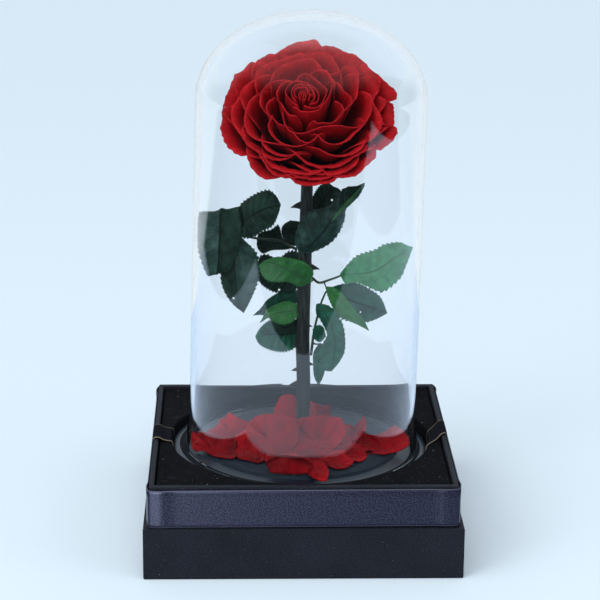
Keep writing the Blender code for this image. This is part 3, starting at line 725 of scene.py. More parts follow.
liftSetup = {
    "width": 22.0, "thick": 0.5, "wall": 75.75, "rows": 9,
    "route": [
        (-87.1, 52.8, 0.3, 0), (-86.9, 54.3, 0.3, 0), (-84.9, 55.4, 0.2, 0), (-82.6, 54.9, 0.2, 0),
        (-80.4, 53.0, 0.0, 0), (-77.4, 52.95, 0.0, 1), (-76.2, 52.5, 0.0, 1), (-75.75, 51.2, 0.0, 1),
        (-75.75, 41.0, 0.0, 1), (-74.0, 39.6, 0.0, 1), (-69.0, 41.1, 0.0, 0), (-60.0, 40.4, -0.5, 0),
        (-48.0, 39.2, -1.0, 0), (73.6, 39.2, -7.4, 1), (75.6, 40.2, -8.0, 1), (75.75, 51.2, -8.0, 1),
        (76.2, 52.5, -7.0, 1), (77.4, 52.95, -4.6, 1), (80.4, 53.0, 0.2, 0), (82.6, 54.9, 3.6, 0),
        (84.9, 55.4, 5.9, 0), (86.8, 54.7, 7.4, 0), (87.2, 53.6, 7.9, 0),
    ],
}


def smoothed(rows, times):
    for _ in range(times):
        rows[1:-1] = (rows[:-2] + 2 * rows[1:-1] + rows[2:]) / 4
    return rows


def makeLiftRibbon():
    s = liftSetup
    line = []
    for low, high in zip(s["route"], s["route"][1:]):
        steps = min(max(2, int(np.hypot(high[0] - low[0], high[1] - low[1]) / 1.5)), 12)
        line += [tuple(mixed(np.array(low), np.array(high), k / steps)) for k in range(steps)]
    line = smoothed(np.array(line + [s["route"][-1]]), 2)
    points = np.zeros((len(line), s["rows"], 3))
    points[:, :, 1] = line[:, None, 2] + np.linspace(-0.5, 0.5, s["rows"]) * s["width"]
    inward = s["wall"] - np.sqrt(s["wall"] ** 2 - points[:, :, 1] ** 2)
    points[:, :, 0] = line[:, None, 0] - np.sign(line[:, None, 0]) * inward * line[:, None, 3]
    points[:, :, 2] = line[:, None, 1]
    obj = addWall(gridPiece("liftRibbon", points * mm, wovenFinish), s["thick"] * mm)
    keep(obj, ["lift_ribbon"])


makeLiftRibbon()
print("box and ribbons ready")

# Base disc and glass dome, heights above the seat

discSetup = {"radius": 75.0, "thick": 6.0, "edge": 0.8, "plateau": 57.0, "height": 1.5, "slope": 1.2,
             "bead": (65.6, 71.0), "beadHigh": 0.32, "hole": 5.6, "deep": 3.0, "steps": 192}


def makeDisc():
    s = discSetup
    top, foot, rim, (beadIn, beadOut) = s["height"], s["plateau"] + s["slope"], s["radius"], s["bead"]
    profile = [(0, top - s["deep"]), (s["hole"], top - s["deep"]), (s["hole"], top - 0.2), (s["hole"] + 0.2, top),
               (s["plateau"] - 0.6, top), (s["plateau"] - 0.25, top - 0.1), (s["plateau"], top - 0.35),
               (foot - 0.15, 0.15), (foot + 0.2, 0),
               (beadIn - 0.3, 0), (beadIn, s["beadHigh"]), (beadOut, s["beadHigh"]), (beadOut + 0.3, 0),
               (rim - s["edge"], 0), (rim - 0.24, -0.24), (rim, -s["edge"]), (rim, s["edge"] - s["thick"]),
               (rim - s["edge"], -s["thick"]), (0, -s["thick"])]
    keep(turnedPiece("baseDisc", profile, s["steps"], discFinish, seat), ["dome_base"])


makeDisc()

glassSetup = {"radius": 66.0, "wall": 2.5, "shoulder": 208.4, "cap": 49.9, "foot": 69.5, "footLow": 0.45, "flare": 15.5,
              "spread": 0.7, "askew": 0.0065, "aside": 0.8, "steps": 192, "arc": 40, "rings": 8}


def glassWall(radius, height):
    # The cap and the wall below it as far as the flare
    s = glassSetup
    turns = [pi / 2 * k / s["arc"] for k in range(s["arc"] + 1)]
    return ([(radius * sin(turn), s["shoulder"] + height * cos(turn)) for turn in turns]
            + [(radius + s["spread"] * k / s["rings"], mixed(s["shoulder"], s["flare"], k / s["rings"]))
               for k in range(1, s["rings"])])


def makeGlass():
    s = glassSetup
    low = s["radius"] + s["spread"]
    grow = s["foot"] - low
    flare = []
    for t in (*np.linspace(0, 1, 22)[:-1] ** 1.6, 0.98, 0.995, 1.0):       # close rings keep the foot's edge crisp
        flare.append((low + grow / 0.94 * (t - 0.06 * (1 - exp(-t / 0.06))), mixed(s["flare"], s["footLow"], t)))
    rounded = [(s["foot"] - 0.15, 0.3), (s["foot"] - s["wall"] + 0.15, 0.3)]
    inside = [(r - s["wall"], z) for r, z in flare[::-1]]
    inner = glassWall(s["radius"] - s["wall"], s["cap"] - s["wall"])
    profile = glassWall(s["radius"], s["cap"]) + flare + rounded + inside + inner[::-1]
    lean = Matrix(((1, 0, s["askew"], s["aside"] * mm), (0, 1, 0, 0), (0, 0, 1, 0), (0, 0, 0, 1)))
    obj = turnedPiece("glassDome", profile, s["steps"], glassFinish, seat @ lean)
    obj.visible_shadow = False
    obj.visible_diffuse = False
    keep(obj, ["glass_dome"])
    # the glass mirrors the dark room and the white table, and no lamp
    linkLamps(["overhead", "leftSoftbox", "rightSoftbox"], obj, "EXCLUDE")


makeGlass()
print("disc and dome ready")

# Rose head. Every petal belongs to a nested cup in the head's own frame, layer 0 the innermost opened one.
# Its rim is the edge that the photograph shows, as places on an enlargement of the frame from left, top.

headSetup = {
    "layers": 23, "thick": 0.5, "columns": 64, "rows": 36,
    "tuck": {"head": 16.0, "heart": 10.0}, "tuckEnds": 7, "tuckIn": 1.2, "tuckDown": 0.22,
    "head": (215.0, 32.0, 8.02),           # left, top and scale of the head's enlargement
    "heart": (265.0, 60.0, 17.65),
}

headRims = {
    "petal_01": [(642, 670), (597, 661), (573, 638), (546, 597), (524, 561), (501, 520), (496, 479), (524, 429),
        (560, 402), (601, 397)],
    "petal_02": [(800, 718), (860, 728), (924, 729), (983, 697), (1028, 643), (1033, 606), (1005, 575), (969, 552)],
    "petal_03": [(775, 330), (810, 304), (856, 298), (895, 311), (920, 345), (945, 385), (965, 415)],
    "petal_04": [(548, 655), (550, 710), (575, 768), (620, 803), (680, 812), (745, 800), (810, 772), (870, 755),
        (950, 746), (1020, 750), (1090, 764), (1150, 762), (1205, 735)],
    "petal_05": [(550, 748), (505, 730), (465, 690), (420, 645), (412, 600), (430, 560), (465, 535)],
    "petal_06": [(1040, 630), (1065, 600), (1095, 575), (1100, 535), (1070, 500), (1030, 465), (1000, 415), (960, 390)],
    "petal_07": [(450, 390), (460, 340), (490, 295), (560, 258), (640, 232), (720, 207), (780, 205), (815, 240)],
    "petal_08": [(455, 690), (430, 740), (440, 800), (500, 870), (570, 905), (650, 915), (730, 895), (790, 865),
        (830, 825)],
    "petal_09": [(405, 640), (372, 595), (362, 545), (385, 465), (430, 415), (480, 390), (550, 380), (600, 388)],
    "petal_10": [(830, 825), (865, 868), (930, 898), (1010, 890), (1080, 850), (1150, 780), (1215, 715), (1255, 630),
        (1260, 560), (1245, 505)],
    "petal_11": [(1000, 320), (1030, 278), (1090, 270), (1140, 305), (1155, 370), (1150, 440), (1135, 520),
        (1110, 560)],
    "petal_12": [(525, 898), (440, 888), (350, 868), (285, 825), (250, 760), (240, 690), (255, 610), (290, 545),
        (340, 500), (385, 480)],
    "petal_13": [(790, 928), (850, 947), (915, 985), (990, 1000), (1070, 992), (1140, 960), (1185, 915), (1205, 870),
        (1250, 860)],
    "petal_14": [(320, 400), (325, 340), (360, 290), (420, 250), (500, 225), (600, 195), (680, 165)],
    "petal_15": [(215, 790), (245, 870), (300, 930), (380, 985), (470, 1022), (560, 1022), (605, 1000), (640, 968)],
    "petal_16": [(640, 968), (680, 1010), (740, 1055), (810, 1082), (880, 1093), (960, 1087), (1030, 1058),
        (1090, 1020), (1150, 985), (1215, 945)],
    "petal_17": [(1245, 500), (1285, 590), (1325, 670), (1335, 740), (1300, 810), (1250, 860), (1200, 885)],
    "petal_18": [(262, 985), (215, 990), (140, 950), (100, 900), (60, 820), (42, 770), (50, 700), (62, 640)],
    "petal_19": [(490, 190), (495, 150), (560, 108), (650, 72), (720, 56), (800, 52), (835, 78), (862, 108)],
    "petal_20": [(1285, 960), (1280, 1000), (1220, 1060), (1140, 1140), (1060, 1162), (980, 1165), (900, 1145),
        (850, 1100)],
    "petal_21": [(560, 1150), (500, 1170), (440, 1175), (370, 1160), (310, 1110), (275, 1050), (262, 985)],
    "petal_22": [(1270, 320), (1330, 365), (1390, 410), (1430, 440), (1455, 480), (1460, 530), (1435, 545),
        (1380, 560)],
    "petal_23": [(140, 400), (160, 340), (210, 320), (245, 280), (290, 240), (330, 245)],
    "frontFold": [(640, 815), (680, 860), (740, 882), (790, 862), (830, 822)],
    "topInner": [(700, 190), (770, 165), (850, 155), (920, 175), (965, 235), (1000, 300)],
    "leftMiddle": [(235, 865), (185, 795), (135, 720), (120, 655), (150, 585), (190, 535), (215, 490), (250, 430)],
    "leftUpper": [(245, 640), (215, 580), (205, 510), (225, 450), (270, 410), (330, 370), (400, 345)],
    "frontLeft": [(380, 895), (430, 950), (500, 985), (570, 998), (640, 985)],
    "lowLeft": [(370, 1000), (400, 1050), (440, 1110), (490, 1152), (560, 1162), (640, 1168), (720, 1165)],
    "rightUpper": [(1155, 340), (1210, 330), (1270, 365), (1315, 420), (1320, 470), (1290, 510)],
    "topRight": [(800, 120), (862, 108), (920, 112), (975, 112), (1010, 135), (1045, 165), (1100, 182)],
    "farRight": [(1045, 165), (1100, 180), (1150, 215), (1215, 265), (1270, 320), (1330, 372)],
    "rightEdge": [(1380, 560), (1436, 590), (1442, 680), (1436, 740), (1380, 765)],
    "rightLow": [(1360, 740), (1450, 765), (1440, 830), (1400, 880), (1330, 945), (1285, 932)],
    "bottom": [(990, 1160), (930, 1205), (860, 1215), (800, 1225), (720, 1225), (650, 1205), (610, 1165)],
    "lowMiddle": [(400, 1010), (455, 1075), (540, 1110), (640, 1130), (740, 1135), (830, 1120)],
    "lowFront": [(700, 1095), (790, 1140), (880, 1150), (970, 1140), (1060, 1110), (1130, 1060)],
    "bottomInner": [(610, 1145), (700, 1180), (790, 1192), (880, 1185), (960, 1150)],
    "leftEdge": [(62, 650), (70, 580), (100, 500), (120, 430), (145, 370), (165, 340)],
    "topLeft": [(300, 250), (330, 240), (380, 210), (440, 180), (495, 170), (540, 180)],
}

heartRims = [
    [(640, 650), (632, 610), (655, 590), (680, 605), (684, 645), (665, 668)],
    [(625, 690), (598, 640), (608, 585), (650, 556), (700, 575), (722, 630), (705, 690), (660, 705)],
    [(795, 560), (840, 590), (868, 645), (858, 695), (822, 722)],
    [(560, 660), (520, 600), (520, 540), (570, 490), (650, 470), (730, 490), (775, 560), (790, 640), (760, 700)],
    [(540, 720), (480, 630), (470, 540), (520, 460), (620, 425), (740, 440), (830, 520), (880, 620), (870, 690),
     (820, 735)],
    [(570, 800), (470, 720), (390, 620), (360, 540), (420, 450), (480, 390), (560, 370), (680, 390), (800, 440),
     (900, 520), (945, 600), (940, 690), (890, 755), (800, 775)],
    [(540, 370), (600, 300), (700, 240), (800, 270), (900, 350), (1000, 430), (1090, 510), (1080, 600), (1050, 680),
     (1000, 760), (930, 830), (870, 850), (780, 830), (700, 805)],
    [(1185, 450), (1150, 560), (1120, 640), (1080, 720), (1000, 800), (950, 880), (860, 900), (760, 915), (640, 900),
     (560, 840), (500, 830)],
]


def cupPoint(layer, turn, v):
    # A point in mm on a layer's cup at an angle round the head, v from 0 at the base to 1 at the rim
    layer, turn, v = np.broadcast_arrays(np.asarray(layer, float), turn, v)
    opened = np.maximum(layer, 0) / (headSetup["layers"] - 1)
    furled = np.minimum(layer, 0)
    rim = 16 + 31.5 * opened ** 0.85 - 3.4 * opened ** 2 + 1.35 * furled
    height = 41.5 - 14.5 * opened ** 0.8 - 0.5 * furled + 13 * opened * (1 + np.sin(turn)) / 2
    baseR, baseZ = 2.6 + 0.25 * layer, 1.5 - 0.22 * layer
    lean = np.radians(50 - 53 * opened)
    reach = 14 + 4 * opened + 0.9 * furled
    lowR, lowZ = baseR + reach * np.cos(lean), baseZ + reach * np.sin(lean)
    highR, highZ = rim + 2 - 6 * opened + 0.1 * furled, height - 13 - 4 * opened
    w = ((1 - v) ** 3, 3 * v * (1 - v) ** 2, 3 * v * v * (1 - v), v ** 3)
    radius = w[0] * baseR + w[1] * lowR + w[2] * highR + w[3] * rim
    z = w[0] * baseZ + w[1] * lowZ + w[2] * highZ + w[3] * height
    # the rims of the opened layers roll outwards, and all have a thin lip
    start = 0.82 - 0.26 * opened ** 1.3
    roll = np.where(layer >= 0, np.maximum(0.0, (v - start) / (1 - start)) ** 2, 0)
    radius = radius + roll * (1.0 + 1.6 * opened + 4.0 * opened ** 2)
    z = z - roll * (0.3 + 1.0 * opened + 3.6 * opened ** 2)
    lip = mixed(0.5, 1.8, opened) * np.clip((v - 0.88) / 0.12, 0, 1.2) ** 2
    return radius + lip, z - 0.9 * lip


def rimChart():
    # Where the photograph sees each place of the surface that all the rims lie on
    layer, turn = np.meshgrid(np.arange(-11, 24.01, 0.2), np.radians(np.arange(0, 360, 0.75)), indexing="ij")
    radius, z = cupPoint(layer, turn, np.ones_like(layer))
    points = placed(onRing(radius, turn, z) * mm, headPlace)
    start = np.array(cameraSetup["place"])
    away = np.cross(np.gradient(points, axis=0), np.gradient(points, axis=1))
    facing = ((start - points) * away).sum(-1) > 0
    side, up, ahead = (np.array(axis) for axis in cameraAxes())
    ray = points - start
    depth = ray @ ahead
    half = cameraSetup["frame"] / 2
    px = half + cameraSetup["focal"] * (ray @ side) / depth
    py = half - cameraSetup["focal"] * (ray @ up) / depth
    chart = KDTree(int(facing.sum()))
    for k, place in enumerate(zip(px[facing], py[facing])):
        chart.insert((*place, 0), k)
    chart.balance()
    return chart, layer[facing], turn[facing]


rimSeen, rimLayers, rimTurns = rimChart()


def rimOf(outline, view):
    # Layer, angle and height along a rim given by its places on an enlargement,
    # carried on at both ends, in and down under its neighbours
    s = headSetup
    left, top, scale = s[view]
    rows = smoothRail([(left + x / scale, top + y / scale) for x, y in outline], s["columns"])
    found = [rimSeen.find((x, y, 0))[1] for x, y in rows]
    layer, turn = smoothed(np.stack([rimLayers[found], np.unwrap(rimTurns[found])], 1), 3).T
    t = np.arange(1, s["tuckEnds"] + 1) / s["tuckEnds"]
    way = np.sign(turn[-1] - turn[0]) * radians(s["tuck"][view])
    layer = np.concatenate([(layer[0] - s["tuckIn"] * t)[::-1], layer, layer[-1] - s["tuckIn"] * t])
    down = 1 - s["tuckDown"] * t ** 1.5
    high = np.concatenate([down[::-1], np.ones(len(turn)), down])
    turn = np.concatenate([(turn[0] - way * t)[::-1], turn, turn[-1] + way * t])
    return layer, turn, high


def petalSheet(name, rim, narrow, low, seed):
    # A petal from its rim down to its base, with dents, pleats and a slightly ragged edge
    layer, turn, high = (column[:, None] for column in rim)
    rows = np.linspace(0, 1, headSetup["rows"])[None, :]
    middle = turn.mean()
    along = np.linspace(0, 1, len(turn))[:, None]
    ragged = 0.009 * waves(along * 9, along * 0, seed + 5) + 0.007 * waves(along * 34, along * 0, seed + 6)
    v = mixed(low, high * (1 + ragged), rows)
    angle = middle + (turn - middle) * mixed(narrow, 1.0, eased(rows / 0.6))
    opened = np.clip((layer + 0 * rows) / (headSetup["layers"] - 1), 0, 1)
    radius, z = cupPoint(layer + 0 * rows, angle, v)
    dent = mixed(0.3, 1.15, opened) * eased(v / 0.5) * (1 - 0.55 * rows ** 3)
    radius = radius + dent * waves(angle * 3, v * 4, seed) + 0.09 * eased(v) * np.sin(angle * 60 + 3 * v + seed)
    z = z + 0.8 * dent * waves(angle * 4, v * 2, seed + 1)
    obj = gridPiece(name, placed(onRing(radius, angle, z) * mm, headPlace), rosePetalFinish)
    return addWall(obj, headSetup["thick"] * mm)


for k, (name, outline) in enumerate(headRims.items()):
    nodes = [name] if name.startswith("petal_") else []
    title = f"openPetal{name[-2:]}" if nodes else f"{name}Petal"
    keep(petalSheet(title, rimOf(outline, "head"), 0.35, 0.0, 40 + 7 * k), nodes)
for k, outline in enumerate(heartRims):
    keep(petalSheet(f"heartPetal{k + 1}", rimOf(outline, "heart"), 1.0, 0.25, 7 + k), ["rose_heart"])
print("rose head ready")

# Stem with thorns, receptacle and sepals

stemSetup = {
    "route": [(1.5, 0, -1.1, 3.9), (1.4, 0, 15, 3.9), (1.2, 0, 40, 3.95), (0.3, 0, 61, 4.0), (0.2, 0, 85, 3.95),
              (0.5, 0, 110, 3.9), (0.6, 0.2, 140, 3.6), (0.7, 1.2, 156, 3.35), (0.6, 4.2, 167, 3.3),
              (0.5, 4.0, 173, 3.4)],
    "receptacle": [(0, 4.2), (2.0, 2.4), (4.5, 0.2), (7.9, -2.7), (8.6, -4.2), (8.3, -5.8), (7.2, -8.6), (5.0, -11.6),
                   (3.0, -13.5), (0, -13.7)],
    "around": 40, "along": 240, "ridges": 9, "ridge": 0.10, "knobs": 0.08,
}


def makeStem():
    s = stemSetup
    line = smoothRail(s["route"], s["along"])
    turn, row = np.meshgrid(np.linspace(0, tau, s["around"], endpoint=False), np.arange(s["along"]), indexing="ij")
    height = line[row, 2]
    ridges = s["ridge"] * np.sin(s["ridges"] * turn + 0.05 * height) + s["knobs"] * waves(turn * 3, height * 0.15, 3)
    points = onRing(line[row, 3] + ridges, turn, height)
    points[..., :2] += line[row, :2]
    obj = gridPiece("stemBark", placed(points * mm, seat), barkFinish, closed=True)
    obj.data.flip_normals()
    keep(obj, ["stem"])
    keep(turnedPiece("receptacle", s["receptacle"], 48, barkFinish, headPlace), ["stem"])


makeStem()

stalkSetup = {
    "radius": 0.65, "petiole": 0.42, "taper": (1.25, 0.85), "around": 12, "along": 40,
    "stalk_upper_left": [(-4.3, 3.6, 119), (-15, 4.4, 124), (-28, -0.6, 126.6), (-36, -3.8, 130), (-42, -6.8, 139),
                         (-45.6, -8.2, 145.2)],
    "stalk_upper_right": [(0.2, -4.4, 112), (-0.6, -6.0, 116.5), (-1.6, -7.6, 120.6)],
    "stalk_right": [(5.0, 0.0, 103), (9, -1.4, 100.6), (15, -2.0, 102.6), (21.1, -2.3, 105.1)],
    "stalk_lower_right": [(5.3, -0.8, 56), (6.6, -1.6, 70), (8.6, -2.6, 81), (10.6, -3.0, 89.4), (13.0, -1.8, 95.2)],
}


def stalkPiece(name, points, radius):
    # A round stalk through points in metres
    s = stalkSetup
    line = smoothRail(points, s["along"])
    along = np.gradient(line, axis=0)
    along /= np.linalg.norm(along, axis=1)[:, None]
    side = np.cross(along, (0.1, 1.0, 0.05))
    side /= np.linalg.norm(side, axis=1)[:, None]
    other = np.cross(along, side)
    turn = np.linspace(0, tau, s["around"], endpoint=False)[:, None, None]
    size = radius * mm * np.linspace(*s["taper"], s["along"])
    ring = (side[None] * np.cos(turn) + other[None] * np.sin(turn)) * size[None, :, None]
    obj = repaired(gridPiece(name, line[None] + ring, stalkFinish, closed=True), fill=True)
    obj.data.shade_smooth()
    return obj


stalkLines = [placed(smoothRail(stemSetup["route"], 200)[:, :3] * mm, seat)]
for name in [key for key in stalkSetup if key.startswith("stalk_")]:
    line = placed(np.array(stalkSetup[name]) * mm, seat)
    stalkLines.append(smoothRail(line, 60))
    keep(stalkPiece(camel(name), line, stalkSetup["radius"]), [name])


def addPetiole(name, base):
    # The short stalk from a leaflet's base to the nearest stalk or to the stem
    near = min((line[np.linalg.norm(line - base, axis=1).argmin()] for line in stalkLines),
               key=lambda point: np.linalg.norm(point - base))
    gap = np.linalg.norm(near - base)
    if gap > 0.8 * mm:
        sag = mixed(near, base, 0.5) - np.array([0, 0, 0.10 * gap])
        keep(stalkPiece(name, np.array([near, sag, base]), stalkSetup["petiole"]))


# Thorns, grown by Geometry Nodes at places with a height, an angle and a length out of the stem's middle

thornSetup = {
    "places": [(146.5, 182, 9.2), (109.5, -4, 8.8), (73.6, 5, 5.8), (50.6, -8, 6.8), (47.0, 186, 7.2),
               (38.0, 176, 8.8), (128.0, 70, 7.5), (88.0, 110, 7.5), (62.0, 200, 5.2), (30.0, 60, 7.0)],
    "root": 3.4,
    "sizes": {"Length": 1.0, "Base": 0.42, "Tip": 0.02, "Hook": 0.25, "Flat": -0.45},   # of a thorn 1 long
    "read": {"aim": "FLOAT_VECTOR", "size": "FLOAT"},
}


def thornTree():
    # A cone, hooked and flattened, set at each place with that place's aim and size
    s = thornSetup
    tree = bpy.data.node_groups.new("thorns", "GeometryNodeTree")
    tree.interface.new_socket("Geometry", in_out="INPUT", socket_type="NodeSocketGeometry")
    for label in s["sizes"]:
        tree.interface.new_socket(label, in_out="INPUT", socket_type="NodeSocketFloat")
    tree.interface.new_socket("Geometry", in_out="OUTPUT", socket_type="NodeSocketGeometry")
    nodes = Nodes(tree)
    places, length, base, tip, hook, flat = nodes.add("NodeGroupInput", "Geometry", *s["sizes"])
    _, y, z = nodes.add("GeometryNodeInputPosition", "Position").xyz()
    made = nodes.add("GeometryNodeMeshCone", "Mesh", Vertices=12, Side_Segments=7, Depth=length,
                     Radius_Bottom=base, Radius_Top=tip)
    made = nodes.add("GeometryNodeSetPosition", "Geometry", Geometry=made, Offset=nodes.add(
        "CombineXYZ", "Vector", X=z.power(2.0) * hook, Y=y * flat))
    made = nodes.add("GeometryNodeSetShadeSmooth", "Geometry", Geometry=made)
    aim, size = (nodes.add("GeometryNodeInputNamedAttribute", "Attribute", data_type=kind, Name=label)
                 for label, kind in s["read"].items())
    made = nodes.add("GeometryNodeInstanceOnPoints", "Instances", Points=places, Instance=made, Rotation=aim,
                     Scale=size)
    made = nodes.add("GeometryNodeRealizeInstances", "Geometry", Geometry=made)
    made = nodes.add("GeometryNodeSetMaterial", "Geometry", Geometry=made, Material=barkFinish)
    nodes.add("NodeGroupOutput", Geometry=made)
    return tree


def addThorns():
    # Each thorn stands out of the bark and hooks down a little
    s = thornSetup
    line = smoothRail(stemSetup["route"], 400)
    places = []
    for height, angle, _ in s["places"]:
        out = np.array([cos(radians(angle)), sin(radians(angle)), 0]) * s["root"]
        places.append(placed((out + line[abs(line[:, 2] - height).argmin(), :3]) * mm, seat))
    source = meshPiece("thornPlaces", places, [], barkFinish)
    for label, kind in s["read"].items():
        source.data.attributes.new(label, kind, "POINT")
    aim, size = (source.data.attributes[label].data for label in s["read"])
    for k, (height, angle, reach) in enumerate(s["places"]):
        aim[k].vector = (0, radians(90), radians(angle))
        size[k].value = (reach - s["root"]) * mm
    modifier = source.modifiers.new("thorns", "NODES")
    modifier.node_group = thornTree()
    for item in modifier.node_group.interface.items_tree:
        if item.name in s["sizes"]:
            modifier[item.identifier] = s["sizes"][item.name]
    bpy.context.view_layer.update()
    mesh = bpy.data.meshes.new_from_object(source.evaluated_get(bpy.context.evaluated_depsgraph_get()))
    mesh.name = "stemThorns"
    source.modifiers.remove(modifier)
    bpy.data.objects.remove(source)
    keep(addObject("stemThorns", mesh), ["stem"])


addThorns()

sepalSetup = {"count": 5, "first": 20, "half": 3.4, "thick": 0.5, "layer": 24.0, "low": 0.02, "long": 0.26,
              "under": 0.9, "root": (7.0, -5.4)}


def addSepals():
    # Sepals that lie up against the outer petals, rooted in the receptacle
    s = sepalSetup
    a, b = np.meshgrid(np.linspace(-1, 1, 15), np.linspace(0, 1, 36), indexing="ij")
    for k in range(s["count"]):
        middle = radians(s["first"] + 360 / s["count"] * k)
        half = s["half"] * np.sin(pi * np.clip(b * 0.9 + 0.1, 0, 1)) ** 0.7 * (1 - b) ** 0.35 + 0.15
        half = half * (1 + 0.05 * np.sin(b * 40))
        radius, z = cupPoint(np.full_like(b, s["layer"]), middle + 0 * b, s["low"] + s["long"] * b)
        turn = middle + a * half / np.maximum(radius, 4)
        lift = s["under"] + 0.4 * a ** 2 + 0.3 * np.sin(b * 5 + k)
        rooted = (1 - b) ** 6
        radius, z = mixed(radius + 0.3, s["root"][0], rooted), mixed(z - lift, s["root"][1], rooted)
        obj = gridPiece(f"sepal{k + 1}", placed(onRing(radius, turn, z) * mm, headPlace), stalkFinish)
        keep(addWall(obj, s["thick"] * mm))


addSepals()
print("stem, thorns, sepals and stalks ready")

# Leaflets. Each has a tone, its tip, and three rails from base to tip: one edge, the midrib and the other edge.
# They go by places of the photograph's frame with a depth in mm.

